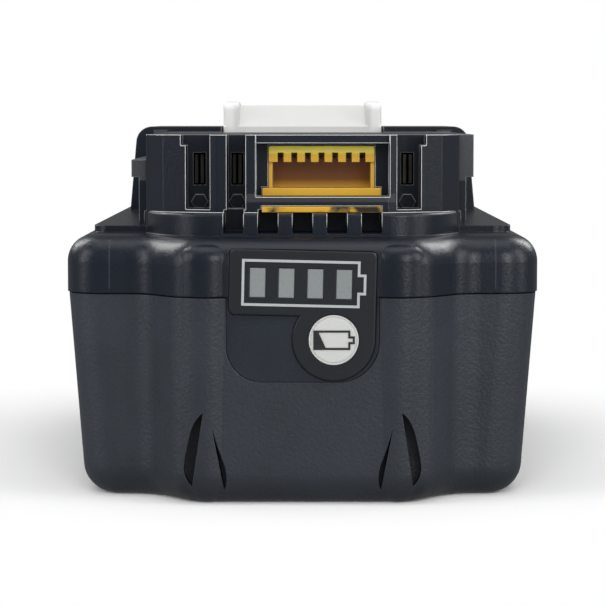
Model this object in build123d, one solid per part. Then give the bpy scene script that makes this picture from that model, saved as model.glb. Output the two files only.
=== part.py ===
from build123d import *
import math
import os

os.makedirs("parts", exist_ok=True)

# Slide-on battery pack. All lengths are in millimetres. X is the width, Y runs from the gauge end to the
# latch end, Z is up, and the origin is the middle of the base.

# Both cases
case_width = 74.6
side_draft = 2.4
end_draft = 0.8
shoulder_rise = 9.0
case_wall = 1.8
floor_thickness = 1.6
cavity_edge_radius = 0.8
deck_thickness = 1.8
upper_overhang = 0.2
joint_gap = 0.2
lip_height = 1.2
lip_thickness = 0.8
lip_clearance = 0.1
lip_setback = 0.25
cut_overrun = 1.0
match_distance = 0.01

# Plan of the cases: a middle block stands out at the gauge end, between two wings
near_corner_share = 0.1662
far_corner_radius = 10.0
block_half_share = 0.4987
block_step = 8.0
block_step_run_share = 0.177
block_corner_share = 0.1609
block_valley_share = 0.161
base_edge_share = 0.134
shoulder_radius = 4.2

# Columns at the corners of the middle block, and the claw recess at each foot
column_offset_share = 0.3995
column_share = 0.1475
column_rise = 0.8
dome_drop = 1.0
dome_edge_radius = 2.4
column_foot_rise = 0.4
claw_depth = 3.0
claw_backing_half_width = 4.6
claw_reach = 3.7
claw_height = 14.6
ridge_inset = 0.2

# Outline of each claw hollow from its tip to its foot, as shares of the claw's reach and height. The
# slopes are the outward run for each share of a fall, at the tip and at the foot.
outer_claw_shares = [(0.19, 1.0), (0.60, 0.863), (0.87, 0.616), (1.0, 0.425), (0.67, 0.205)]
inner_claw_shares = [(0.176, 0.85), (0.486, 0.582), (0.784, 0.315), (0.68, 0.165)]
outer_claw_slope_shares = (1.3, -1.0)
inner_claw_slope_shares = (0.28, -0.5)

# Terminal head
head_rise = 15.8
head_half_width = 25.2
head_front_half_width = 13.6
head_front_setback = 10.5
head_panel_setback = 14.0
head_panel_inset = 2.9
head_corner_setback = 18.0
head_corner_radius = 0.5
head_wall = 2.2
head_roof = 1.8
head_front_depth = 10.0
band_rise = 3.5
band_setback = 6.5
band_reach = 1.0
band_flat_half_width = 13.8
band_curve_run = 20.0
band_edge_radius = 0.4
vent_count = 5
vent_pitch = 5.42
vent_width = 3.15
vent_sill = 0.4
vent_depth = 9.0

# Slots for the tool's blades, each with its own place and width
slot_floor_rise = 4.0
slot_depth = 8.0
slot_passage_room = 0.3
positive_slot_x = -16.6
positive_slot_width = 3.9
sense_slot_x = -10.5
sense_slot_width = 3.0
negative_slot_x = 16.9
negative_slot_width = 3.9
notch_extra_width = 0.8
notch_depth = 1.7
notch_length = 4.5
slot_nut_radius = 1.35
slot_nut_rise = 0.5
slot_nut_centre_rise = 1.0
window_left = -7.4
window_right = 13.8
window_top_drop = 1.3
window_sill_rise = 6.0
window_bar_height = 1.4
window_bar_depth = 2.4
window_lintel_setback = 0.9
window_recess_depth = 4.6

# Slide rails and the ledge that the tool's rails run on
rail_reach = 2.6
rail_skirt_reach = 1.4
rail_under_drop = 6.9
left_rail_drop = 4.1
rail_near_setback = 21.0
ledge_rise = 1.1
ledge_side_setback = 3.4
ledge_near_setback = 19.0
ledge_end_setback = 6.0

# Hump at the latch end, with an ear each side of the latch well
hump_near_y = 23.5
hump_rise = 1.1
hump_side_setback = 4.5
hump_side_lean = 1.7
hump_corner_radius = 3.0
hump_wall = 2.0
hump_end_lean = 5.0
well_half_width = 15.3
well_front_y = 26.6
well_sill_rise = 3.4
well_front_sill_drop = 0.9
well_side_room = 0.3

# Release latch
latch_clearance = 0.3
latch_travel = 4.6
latch_rise = 4.7
latch_panel_drop = 0.7
latch_floor_gap = 0.6
latch_pillar_width = 3.1
latch_pillar_edge_radius = 0.7
latch_hook_length = 9.5
latch_ramp_length = 5.0
latch_shelf_drop = 2.7
latch_wall = 2.0
latch_thumb_lean = 5.6
latch_far_y = 54.8
lug_reach = 1.2
lug_height = 1.8
lug_length = 6.0
lug_slot_clearance = 0.3
spring_inset = 6.8
spring_wire_radius = 0.35
spring_coil_radius = 2.4
spring_turns = 6
spring_y = 41.0
spring_post_radius = 1.7
spring_seat_clearance = 0.05
case_post_height = 3.0

# Check gauge on the middle block
gauge_tilt = 1.3
panel_centre_x = 0.05
panel_centre_rise = 2.1
panel_width = 22.7
panel_height = 10.1
lobe_radius = 6.4
lobe_drop = 8.6
panel_corner_radius = 0.9
panel_thickness = 1.0
panel_rise = 0.3
panel_fit = 0.05
panel_edge_radius = 0.25
tongue_margin = 0.45
tongue_foot_drop = 15.3
tongue_left_radius = 5.5
tongue_gap = 0.06
window_count = 4
bar_width = 2.4
bar_height = 4.5
bar_pitch = 4.44
bar_group_offset = -0.3
bar_fit = 0.03
bar_sink = 0.05
frame_width = 18.2
frame_height = 7.2
frame_line = 0.4
frame_tip_width = 0.95
frame_tip_height = 3.2
print_thickness = 0.1
button_radius = 3.85
button_clearance = 0.1
button_rise = 0.6
button_edge_radius = 0.12
ring_outer_radius = 3.68
ring_inner_radius = 3.42
ring_depth = 0.12
button_flange_radius = 4.7
button_flange_thickness = 0.8
icon_width = 5.7
icon_height = 3.0
icon_line = 0.32
icon_shift = 0.3
icon_tip_width = 0.7
icon_tip_height = 1.2
icon_fill_top_share = 0.12
icon_fill_foot_share = 0.36

# Gauge board, its lamps and its switch
gauge_board_width = 23.0
gauge_board_rise = 4.5
gauge_board_drop = 13.7
gauge_board_thickness = 1.0
gauge_board_setback = 5.4
lamp_width = 1.6
lamp_height = 0.8
lamp_thickness = 0.7
switch_width = 4.0
switch_thickness = 1.4
plunger_radius = 0.9
plunger_clearance = 0.05
plunger_rise = 0.8
lamp_gap = 0.3
post_radius = 1.1
upper_post_x = 10.0
upper_post_rise = 3.3
lower_post_x = -8.5
lower_post_drop = 11.6
stem_radius = 1.3

# Cells
cell_radius = 9.1
cell_end_room = 2.95
cells_per_layer = 5
row_gap = 0.7
layer_gap = 0.5
near_cell_room = 12.6
far_cell_room = 7.6
cell_top_gap = 1.0
layer_count = 2
cell_floor_gap = 0.3
cell_fit = 0.05
cap_radius = 8.4
cap_step = 0.25
button_end_radius = 3.6
button_end_rise = 0.3

# Cell holders, links and insulators
holder_length = 9.4
holder_end_setback = 2.1
holder_margin = 0.25
holder_top_drop = 3.0
link_thickness = 0.15
link_width = 8.0
link_end_margin = 5.0
link_tab_width = 5.0
link_tab_gap = 0.08
insulator_thickness = 0.2
insulator_gap = 0.05
insulator_margin = 5.5

# Main board and what stands on it
board_side_room = 2.0
board_near_y = -33.0
board_far_y = 18.0
board_rise = 0.4
board_thickness = 1.6
board_gap = 0.1
board_post_radius = 1.6
board_post_inset = 1.9
board_post_near_y = -22.0
board_post_far_inset = 3.0
blade_thickness = 0.5
blade_gap = 0.4
blade_near_y = -38.5
blade_far_y = -28.0
blade_top_drop = 3.2
blade_mouth_rise = 4.0
blade_foot_thickness = 0.8
board_screw_radius = 0.9
board_screw_head_radius = 1.7
board_screw_head_height = 1.1
board_screw_length = 6.0

# Yellow signal block
block_left = -5.4
block_right = 11.5
block_flange_extra = 1.0
block_fit = 0.1
block_cheek_width = 0.6
block_cheek_setback = 0.7
block_near_y = -41.6
block_back_y = -35.9
block_far_y = -33.9
block_flange_setback = 1.2
block_flange_height = 1.25
block_top_drop = 0.5
block_bar_height = 1.05
block_foot_gap = 0.1
block_foot_thickness = 0.9
block_foot_near_y = -45.9
comb_gap_count = 7
comb_gap_width = 0.95
comb_pitch = 2.18
comb_height = 1.5
comb_depth = 1.2
comb_first_x = -3.5
pin_width = 0.5
pin_clearance = 0.05
pin_near_y = -36.6
pin_far_y = -32.2

# Case screws
screw_radius = 1.0
screw_clearance = 0.2
screw_thread_fit = 0.03
screw_head_radius = 1.8
screw_head_height = 1.3
screw_head_clearance = 0.2
screw_recess_depth = 4.0
screw_tip_drop = 3.0
boss_radius = 2.7
near_boss_gap = 0.9
near_boss_y = -49.2
far_boss_inset = 11.3
far_boss_y = 52.6

# Thermistor between two cells, and the flat lead of the gauge board
bead_radius = 1.2
bead_length = 4.0
bead_drop = 6.8
wire_radius = 0.3
wire_spread = 1.0
lead_width = 5.0
lead_thickness = 0.15
lead_foot_drop = 5.0

base_width = case_width - 2 * side_draft
cell_pitch = 2 * cell_radius + row_gap
layer_pitch = 2 * cell_radius + layer_gap
case_length = cell_pitch * (cells_per_layer - 1) + 2 * cell_radius + near_cell_room + far_cell_room
cell_row_offset = (near_cell_room - far_cell_room) / 2
inner_deck_height = (
    floor_thickness + cell_floor_gap + layer_pitch * (layer_count - 1) + 2 * cell_radius + cell_top_gap
)
deck_height = inner_deck_height + deck_thickness
joint_height = deck_height - shoulder_rise
half_case = case_width / 2
block_half_width = block_half_share * half_case
block_step_run = block_step_run_share * half_case
block_corner_radius = block_corner_share * half_case
block_valley_radius = block_valley_share * half_case
near_corner_radius = near_corner_share * half_case
base_edge_radius = base_edge_share * half_case
column_offset = column_offset_share * half_case
column_radius = column_share * half_case
ridge_offset = column_offset - ridge_inset
near_boss_x = panel_width / 2 + tongue_margin + boss_radius + near_boss_gap
head_panel_half_width = head_half_width - head_panel_inset
band_half_width = head_half_width + band_reach
rail_half_width = head_half_width + rail_reach
rail_skirt_half_width = head_half_width + rail_skirt_reach
board_half_width = head_half_width - head_wall - board_side_room
spring_offset = well_half_width - spring_inset
head_top_height = deck_height + head_rise
band_top_height = deck_height + band_rise
slot_floor_height = deck_height + slot_floor_rise
slot_nut_height = slot_floor_height + slot_nut_centre_rise
window_top_height = head_top_height - window_top_drop
window_sill_height = deck_height + window_sill_rise
rail_under_height = head_top_height - rail_under_drop
left_rail_top_height = head_top_height - left_rail_drop
ledge_height = deck_height + ledge_rise
hump_top_height = head_top_height + hump_rise
well_sill_height = deck_height + well_sill_rise
latch_top_height = hump_top_height + latch_rise
latch_panel_height = latch_top_height - latch_panel_drop
latch_foot_height = deck_height + latch_travel + latch_floor_gap
latch_shelf_height = hump_top_height - latch_shelf_drop
panel_centre_height = joint_height + panel_centre_rise
tongue_foot_height = panel_centre_height - tongue_foot_drop
gauge_board_top_height = panel_centre_height + gauge_board_rise
gauge_board_foot_height = panel_centre_height - gauge_board_drop
upper_post_height = panel_centre_height + upper_post_rise
lower_post_height = panel_centre_height - lower_post_drop
holder_top_height = deck_height - holder_top_drop
board_height = deck_height + board_rise
blade_top_height = head_top_height - blade_top_drop
blade_mouth_height = slot_floor_height + blade_mouth_rise
block_top_height = window_top_height - block_top_drop
screw_tip_height = deck_height - screw_tip_drop
bead_height = deck_height - bead_drop
lead_foot_height = deck_height - lead_foot_drop
cell_length = case_width - 2 * (case_wall + cell_end_room)
holder_outer_x = cell_length / 2 - holder_end_setback
holder_inner_x = holder_outer_x - holder_length
ledge_half_width = case_width / 2 - ledge_side_setback
hump_foot_half_width = case_width / 2 - hump_side_setback
hump_top_half_width = hump_foot_half_width - hump_side_lean
far_boss_x = case_width / 2 - far_boss_inset
near_end = column_rise - case_length / 2
far_end = case_length / 2
cell_first_y = cell_row_offset - cell_pitch * (cells_per_layer - 1) / 2
cell_first_height = floor_thickness + cell_floor_gap + cell_radius


def block(x_range, y_range, z_range):
    """A box between two places along each axis."""
    size = [high - low for low, high in (x_range, y_range, z_range)]
    middle = [(high + low) / 2 for low, high in (x_range, y_range, z_range)]
    return Pos(*middle) * Box(*size)


def mirrored(x_range):
    """The same range on the other side of the middle."""
    return (-x_range[1], -x_range[0])


def post(radius, x, y, z_range):
    """An upright round bar."""
    height = z_range[1] - z_range[0]
    return Pos(x, y, z_range[0] + height / 2) * Cylinder(radius, height)


def end_bar(radius, x, z, y_range):
    """A round bar along the length of the pack."""
    length = y_range[1] - y_range[0]
    return Pos(x, y_range[0] + length / 2, z) * Rot(X=90) * Cylinder(radius, length)


def outlined(points):
    """A flat face inside a closed outline."""
    return make_face(Polyline(*points, close=True))


def rounded(face, corners, radius):
    """The face with its corners at the given points rounded."""
    chosen = [
        corner for corner in face.vertices()
        if any((corner.center() - Vector(*place)).length < match_distance for place in corners)
    ]
    return fillet(chosen, radius)


def raised(face, z_range):
    """A plan outline made solid between two heights."""
    return Pos(0, 0, z_range[0]) * extrude(face, amount=z_range[1] - z_range[0], dir=(0, 0, 1))


def fused(shapes):
    """One shape out of several."""
    whole = shapes[0]
    for shape in shapes[1:]:
        whole = whole + shape
    return whole


def group(shapes):
    """Several separate solids kept together."""
    return Compound(children=list(shapes))


# Cases

def case_plan(half_width, near, far, inset):
    """The plan of the case, drawn in by an inset."""
    step_angle = math.atan2(block_step, block_step_run)
    shift = inset * math.tan(step_angle / 2)
    wing_y = near + block_step + inset
    side_x = half_width - inset
    end_y = far - inset
    right = [
        (block_half_width - shift, near + inset),
        (block_half_width + block_step_run - shift, wing_y),
        (side_x, wing_y),
        (side_x, end_y),
    ]
    left = [(-x, y) for x, y in reversed(right)]
    radii = [
        block_corner_radius - inset,
        block_valley_radius + inset,
        near_corner_radius - inset,
        far_corner_radius - inset,
    ]
    face = outlined(right + left)
    for (x, y), radius in zip(right, radii):
        face = rounded(face, [(x, y, 0), (-x, y, 0)], radius)
    return face


def lower_solid(inset, z_range):
    """The tub as a solid, leaning in towards the base."""
    faces = []
    for z in z_range:
        share = 1 - z / joint_height
        half_width = case_width / 2 - (case_width - base_width) / 2 * share
        near = near_end + end_draft * share
        far = far_end - end_draft * share
        faces.append(Pos(0, 0, z) * case_plan(half_width, near, far, inset))
    return loft(faces, ruled=True)


def upper_solid(inset, z_range):
    """The straight-sided shoulder as a solid."""
    half_width = case_width / 2 + upper_overhang
    return raised(case_plan(half_width, near_end - upper_overhang, far_end, inset), z_range)


def column(side, z_range):
    """A round column at a corner of the middle block."""
    return post(column_radius, side * column_offset, near_end - column_rise + column_radius, z_range)


def leaning_column(side):
    """The lower part of a column, which leans in with the end wall and is rounded at its foot."""
    x = side * column_offset
    foot_y = near_end + end_draft - column_foot_rise + column_radius
    foot_ring = Pos(x, foot_y, 0) * Circle(column_radius)
    top_ring = Pos(x, near_end - column_rise + column_radius, joint_height) * Circle(column_radius)
    body = loft([foot_ring, top_ring], ruled=True)
    return fillet(body.faces().sort_by(Axis.Z)[0].edges(), base_edge_radius)


def claw(side):
    """The two pointed hollows at the foot of a column, with a ridge left between them."""
    centre = side * ridge_offset
    standing = Plane(origin=(0, near_end + claw_depth, 0), x_dir=(1, 0, 0), z_dir=(0, -1, 0))
    hollows = []
    for direction, shares, slopes in (
        (side, outer_claw_shares, outer_claw_slope_shares),
        (-side, inner_claw_shares, inner_claw_slope_shares),
    ):
        points = [(centre + direction * reach * claw_reach, height * claw_height) for reach, height in shares]
        ends = [(direction * slope, -1) for slope in slopes]
        outline = make_face([Spline(*points, tangents=ends), Line(points[-1], points[0])])
        hollows.append(extrude(standing * outline, amount=claw_depth + column_radius))
    return hollows


def claw_backing(side):
    """The thicker wall behind a claw."""
    centre = side * ridge_offset
    return block(
        (centre - claw_backing_half_width, centre + claw_backing_half_width),
        (near_end, near_end + claw_depth + case_wall),
        (0, claw_height + case_wall),
    )


def bosses(radius, z_range):
    """Four upright round bars at the screw places."""
    places = [(near_boss_x, near_boss_y), (far_boss_x, far_boss_y)]
    return [post(radius, side * x, y, z_range) for x, y in places for side in (-1, 1)]


def tongue_prism(gap, z_top):
    """The plate outline under the gauge, which hangs from the upper case into the lower."""
    half = panel_width / 2 + tongue_margin + gap
    left = panel_centre_x - half
    right = panel_centre_x + half
    foot = tongue_foot_height - gap
    face = outlined([(left, foot), (right, foot), (right, z_top), (left, z_top)])
    face = rounded(face, [(left, foot, 0)], tongue_left_radius)
    face = rounded(face, [(right, foot, 0)], lobe_radius)
    standing = Plane(origin=(0, near_end + block_step, 0), x_dir=(1, 0, 0), z_dir=(0, -1, 0))
    return extrude(standing * face, amount=block_step + column_radius)


def lip_solid(outer_inset, inner_inset, z_range):
    """A ring that follows the joint between the cases."""
    half_width = case_width / 2
    outer = case_plan(half_width, near_end, far_end, outer_inset)
    inner = case_plan(half_width, near_end, far_end, inner_inset)
    return raised(outer, z_range) - raised(inner, z_range)


def lower_tub():
    """The tub before the gauge tongue is cut out of it."""
    top = joint_height - joint_gap
    outer = lower_solid(0, (0, joint_height))
    base_edges = outer.faces().sort_by(Axis.Z)[0].edges()
    outer = fillet(base_edges, base_edge_radius)
    outer = fused([outer] + [leaning_column(side) for side in (-1, 1)])
    cavity = lower_solid(case_wall, (floor_thickness, joint_height))
    cavity = fillet(cavity.faces().sort_by(Axis.Z)[0].edges(), cavity_edge_radius)
    for side in (-1, 1):
        cavity = cavity - claw_backing(side)
        for hollow in claw(side):
            outer = outer - hollow
    return outer, outer - cavity, top


def make_lower_case(outer, tub, top):
    """The deep tub that holds the cells, with its screw bosses and the lip of the joint."""
    shell = tub - block(
        (-case_width, case_width),
        (-case_length, case_length),
        (top, joint_height + cut_overrun),
    )
    lip_inset = case_wall - lip_setback
    lip = lip_solid(lip_inset - lip_thickness, lip_inset, (top - lip_height, joint_height + lip_height))
    shell = shell + lip
    posts = bosses(boss_radius, (floor_thickness / 2, joint_height - joint_gap))
    shell = fused([shell] + [boss & outer for boss in posts])
    for hole in bosses(screw_radius + screw_clearance, (0, joint_height)):
        shell = shell - hole
    for recess in bosses(screw_head_radius + screw_head_clearance, (0, screw_recess_depth)):
        shell = shell - recess
    return shell - tongue_prism(tongue_gap, deck_height)


# Panel of the gauge

def gauge_plane(depth):
    """A plane parallel to the gauge end, turned by the tilt of the panel."""
    upright = Plane(
        origin=(panel_centre_x, near_end + depth, panel_centre_height),
        x_dir=(1, 0, 0),
        z_dir=(0, -1, 0),
    )
    return upright * Rot(Z=-gauge_tilt)


def lobe_centre():
    """The centre of the round lobe, from the centre of the panel."""
    return (panel_width / 2 - lobe_radius, -lobe_drop)


def panel_face(margin):
    """The outline of the panel: a wide bar with a round lobe under its right end."""
    centre_x, centre_y = lobe_centre()
    bar = Rectangle(panel_width + 2 * margin, panel_height + 2 * margin)
    lobe = Pos(centre_x, centre_y) * Circle(lobe_radius + margin)
    neck = Pos(centre_x + (lobe_radius + margin) / 2, centre_y / 2) * Rectangle(lobe_radius + margin, lobe_drop)
    face = bar + lobe + neck
    corners = [
        (x * (panel_width / 2 + margin), y * (panel_height / 2 + margin), 0)
        for x, y in ((-1, -1), (-1, 1), (1, 1))
    ]
    return rounded(face, corners, panel_corner_radius)


def on_gauge(face, depth_range):
    """A face on the gauge made solid between two depths, which count inwards from the case."""
    return extrude(gauge_plane(depth_range[1]) * face, amount=depth_range[1] - depth_range[0])


def bar_places():
    """The centres of the light windows, from the centre of the panel."""
    first = bar_group_offset - bar_pitch * (window_count - 1) / 2
    return [(first + bar_pitch * number, 0) for number in range(window_count)]


def bars(margin):
    """The outlines of the light windows."""
    size = Rectangle(bar_width + 2 * margin, bar_height + 2 * margin)
    return [Pos(x, y) * size for x, y in bar_places()]


def battery_frame(width, height, tip_width, tip_height, line):
    """A closed line in the shape of a battery lying on its side."""
    outer = Rectangle(width, height) + Pos((width + tip_width) / 2, 0) * Rectangle(tip_width, tip_height)
    inner = Rectangle(width - 2 * line, height - 2 * line)
    inner_tip = Pos((width + tip_width) / 2 - line, 0) * Rectangle(tip_width, tip_height - 2 * line)
    return outer - inner - inner_tip


def button_axis():
    """Where the button stands: its X and its height."""
    centre = gauge_plane(0) * Pos(*lobe_centre())
    return centre.position.X, centre.position.Z


# Upper case

def shoulder():
    """The outside of the upper case below the head, with the tops of the columns."""
    body = upper_solid(0, (joint_height, deck_height))
    top_edges = body.faces().sort_by(Axis.Z)[-1].edges()
    body = fillet(top_edges, shoulder_radius)
    domes = []
    for side in (-1, 1):
        dome = column(side, (joint_height, deck_height - dome_drop))
        domes.append(fillet(dome.faces().sort_by(Axis.Z)[-1].edges(), dome_edge_radius))
    return fused([body] + domes)


def head_plan():
    """The plan of the terminal head, with its two panels and two corner facets."""
    right = [
        (head_front_half_width, near_end + head_front_setback),
        (head_panel_half_width, near_end + head_panel_setback),
        (head_half_width, near_end + head_corner_setback),
        (head_half_width, hump_near_y + hump_wall),
    ]
    left = [(-x, y) for x, y in reversed(right)]
    face = outlined(right + left)
    return rounded(face, [(x, y, 0) for x, y in right[:-1] + left[1:]], head_corner_radius)


def band_plan():
    """The plan of the band under the head: flat in the middle, and a long quarter ellipse each side."""
    near = near_end + band_setback
    far = hump_near_y + hump_wall
    reach = band_half_width - band_flat_half_width
    front = Line((-band_flat_half_width, near), (band_flat_half_width, near))
    centre = (band_flat_half_width, near + band_curve_run)
    right = EllipticalCenterArc(centre, reach, band_curve_run, start_angle=-90, arc_size=90)
    left = EllipticalCenterArc((-centre[0], centre[1]), reach, band_curve_run, start_angle=180, arc_size=90)
    back = Polyline(
        (band_half_width, near + band_curve_run),
        (band_half_width, far),
        (-band_half_width, far),
        (-band_half_width, near + band_curve_run),
    )
    return make_face([front, right, back, left])


def band():
    """The band as a solid with its top edge softened."""
    body = raised(band_plan(), (inner_deck_height, band_top_height))
    return fillet(body.faces().sort_by(Axis.Z)[-1].edges(), band_edge_radius)


def ledge_plan():
    """The plan of the raised ledges that the tool's rails run on."""
    near = near_end + ledge_near_setback
    far = far_end - ledge_end_setback
    face = outlined([
        (-ledge_half_width, near),
        (ledge_half_width, near),
        (ledge_half_width, far),
        (-ledge_half_width, far),
    ])
    corners = [(x, y, 0) for x in (-ledge_half_width, ledge_half_width) for y in (near, far)]
    return rounded(face, corners, ledge_end_setback / 2)


def hump():
    """The block at the latch end, inside the outline of the case."""
    foot = inner_deck_height
    face = outlined([
        (-hump_foot_half_width, foot),
        (hump_foot_half_width, foot),
        (hump_top_half_width, hump_top_height),
        (-hump_top_half_width, hump_top_height),
    ])
    corners = [(x, hump_top_height, 0) for x in (-hump_top_half_width, hump_top_half_width)]
    face = rounded(face, corners, hump_corner_radius)
    standing = Plane(origin=(0, far_end, 0), x_dir=(1, 0, 0), z_dir=(0, -1, 0))
    body = extrude(standing * face, amount=far_end - hump_near_y)
    body = body & upper_solid(0, (joint_height, hump_top_height))
    side = outlined([
        (far_end, deck_height),
        (far_end + cut_overrun, deck_height),
        (far_end + cut_overrun, hump_top_height + cut_overrun),
        (far_end - hump_end_lean, hump_top_height + cut_overrun),
    ])
    across = Plane(origin=(-case_width, 0, 0), x_dir=(0, 1, 0), z_dir=(1, 0, 0))
    return body - extrude(across * side, amount=2 * case_width)


def rails():
    """The two flanges of the slide, the right one as tall as the head, and the skirts under them."""
    near = near_end + rail_near_setback
    far = hump_near_y + hump_wall
    inner = head_half_width - head_wall / 2
    right = block((inner, rail_half_width), (near, far), (rail_under_height, head_top_height))
    left = block(mirrored((inner, rail_half_width)), (near, far), (rail_under_height, left_rail_top_height))
    skirt = block((inner, rail_skirt_half_width), (near, far), (inner_deck_height, rail_under_height))
    return [left, right, skirt, mirror(skirt, about=Plane.YZ)]


def blade_slots():
    """The slots that the tool's blades enter, with a wider notch at the top of two of them."""
    near = near_end + band_setback
    far = near_end + head_front_setback + slot_depth
    hollow = near_end + head_front_setback + head_front_depth + cut_overrun
    passage_half = blade_gap / 2 + blade_thickness + slot_passage_room
    z_passage = (blade_mouth_height - slot_passage_room, blade_top_height + slot_passage_room)
    notch_far = near_end + head_panel_setback + notch_length
    top = head_top_height + cut_overrun
    slots = []
    for centre, width in (
        (positive_slot_x, positive_slot_width),
        (sense_slot_x, sense_slot_width),
        (negative_slot_x, negative_slot_width),
    ):
        half = width / 2
        slots.append(block((centre - half, centre + half), (near, far), (slot_floor_height, top)))
        slots.append(block((centre - passage_half, centre + passage_half), (near, hollow), z_passage))
        if centre != sense_slot_x:
            outer = half + notch_extra_width
            x_range = (centre - outer, centre + half) if centre < 0 else (centre - half, centre + outer)
            slots.append(block(x_range, (near, notch_far), (head_top_height - notch_depth, top)))
    return slots


def slot_nuts():
    """The six-sided studs at the foot of the back wall of each slot."""
    back = near_end + head_front_setback + slot_depth
    nuts = []
    for centre in (positive_slot_x, sense_slot_x, negative_slot_x):
        standing = Plane(
            origin=(centre, back + slot_nut_rise, slot_nut_height),
            x_dir=(1, 0, 0),
            z_dir=(0, -1, 0),
        )
        nuts.append(extrude(standing * RegularPolygon(slot_nut_radius, 6), amount=2 * slot_nut_rise))
    return nuts


def window_cuts():
    """The opening for the signal block, with a bar left across its foot."""
    near = near_end + band_setback
    front = near_end + head_front_setback
    far = front + head_front_depth + cut_overrun
    recess_far = front + window_recess_depth
    x_range = (window_left, window_right)
    wide = block_flange_extra + block_fit
    x_flange = (block_left - wide, block_right + wide)
    x_block = (block_left - block_fit, block_right + block_fit)
    flange_top = window_sill_height + block_foot_gap + block_flange_height + block_fit
    bar_foot = window_sill_height - window_bar_height
    lintel_top = head_top_height + cut_overrun
    return [
        block(x_range, (near, recess_far), (window_sill_height, window_top_height)),
        block(x_range, (near, front + window_lintel_setback), (window_sill_height, lintel_top)),
        block(x_block, (near, far), (window_sill_height, block_top_height + block_fit)),
        block(x_flange, (near, far), (window_sill_height, flange_top)),
        block(x_flange, (front + window_bar_depth, far), (band_top_height, window_sill_height + cut_overrun)),
        block(x_flange, (near, far), (band_top_height, bar_foot)),
    ]


def vents():
    """The row of vents through the front of the band."""
    near = near_end + band_setback
    first = -vent_pitch * (vent_count - 1) / 2
    cuts = []
    for number in range(vent_count):
        centre = first + vent_pitch * number
        cuts.append(block(
            (centre - vent_width / 2, centre + vent_width / 2),
            (near - cut_overrun, near + vent_depth),
            (deck_height + vent_sill, band_top_height + cut_overrun / 2),
        ))
    return cuts


def latch_well():
    """The space in the hump that the latch moves in, open at the top and at the end."""
    x_range = (-well_half_width, well_half_width)
    top = hump_top_height + cut_overrun
    pit = block(x_range, (well_front_y, far_end - hump_wall), (deck_height, top))
    mouth = block(x_range, (well_front_y, far_end + cut_overrun), (well_sill_height, top))
    front_sill = head_top_height - well_front_sill_drop
    front = block(x_range, (hump_near_y - well_side_room, well_front_y + cut_overrun), (front_sill, top))
    cuts = [pit, mouth, front]
    slot_top = latch_foot_height + lug_height + lug_slot_clearance
    slot_half = lug_length / 2 + lug_slot_clearance
    x_slot = (well_half_width - cut_overrun, well_half_width + hump_wall + cut_overrun)
    for x_pair in (x_slot, mirrored(x_slot)):
        cuts.append(block(x_pair, (spring_y - slot_half, spring_y + slot_half), (deck_height, slot_top)))
    return cuts


def upper_cavities():
    """The hollows inside the upper case."""
    inside = upper_solid(case_wall, (joint_height, inner_deck_height))
    head_near = near_end + head_front_setback + head_front_depth
    half = head_half_width - head_wall
    roof = head_top_height - head_roof
    cavities = [inside, block((-half, half), (head_near, hump_near_y - hump_wall), (joint_height, roof))]
    x_ear = (well_half_width + hump_wall, hump_top_half_width - hump_wall)
    y_ear = (hump_near_y + hump_wall, far_end - hump_end_lean - hump_wall)
    for x_range in (x_ear, mirrored(x_ear)):
        cavities.append(block(x_range, y_ear, (joint_height, hump_top_height - hump_wall)))
    return cavities


def board_posts():
    """Posts in the head that the main board hangs from."""
    z_range = (board_height + board_thickness, head_top_height - head_roof / 2)
    y_places = (board_post_near_y, board_far_y - board_post_far_inset)
    x_place = board_half_width - board_post_inset
    return [post(board_post_radius, side * x_place, y, z_range) for side in (-1, 1) for y in y_places]


def gauge_posts():
    """Posts behind the gauge that carry its board."""
    y_range = (near_end + case_wall / 2, near_end + gauge_board_setback)
    places = [
        (upper_post_x, upper_post_height),
        (-upper_post_x, upper_post_height),
        (lower_post_x, lower_post_height),
    ]
    return [end_bar(post_radius, x, z, y_range) for x, z in places]


def make_upper_case(tub):
    """The upper case in one moulding: shoulder, head, rails, hump and the tongue under the gauge."""
    body = fused([
        shoulder(),
        raised(ledge_plan(), (inner_deck_height, ledge_height)),
        band(),
        raised(head_plan(), (inner_deck_height, head_top_height)),
        hump(),
    ] + rails())
    for cavity in upper_cavities() + latch_well() + blade_slots() + window_cuts() + vents():
        body = body - cavity
    sleeve_top = inner_deck_height + deck_thickness / 2
    body = fused([body] + slot_nuts() + bosses(boss_radius, (joint_height, sleeve_top)))
    lip_room = lip_solid(
        case_wall - lip_setback - lip_thickness - lip_clearance,
        case_wall + lip_clearance,
        (joint_height, joint_height + lip_height + lip_clearance),
    )
    body = body - (lip_room - tongue_prism(tongue_gap, deck_height))
    tongue = tub & tongue_prism(0, joint_height)
    body = fused([body, tongue] + board_posts() + gauge_posts())
    for hole in bosses(screw_radius + screw_thread_fit, (joint_height, screw_tip_height + screw_clearance)):
        body = body - hole
    for side in (-1, 1):
        spring_guide = (deck_height - deck_thickness / 2, deck_height + case_post_height)
        body = body + post(spring_post_radius, side * spring_offset, spring_y, spring_guide)
    z_hole = (board_height + board_thickness, board_height + board_screw_length)
    x_place = board_half_width - board_post_inset
    for side in (-1, 1):
        for y in (board_post_near_y, board_far_y - board_post_far_inset):
            body = body - post(board_screw_radius + screw_thread_fit, side * x_place, y, z_hole)
    body = body - on_gauge(panel_face(panel_fit), (-column_radius, panel_thickness - panel_rise))
    for face in bars(bar_fit):
        body = body - on_gauge(face, (0, case_wall + cut_overrun))
    x, z = button_axis()
    y_range = (near_end - cut_overrun, near_end + case_wall + cut_overrun)
    return body - end_bar(button_radius + button_clearance, x, z, y_range)


# Release latch and its springs

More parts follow.
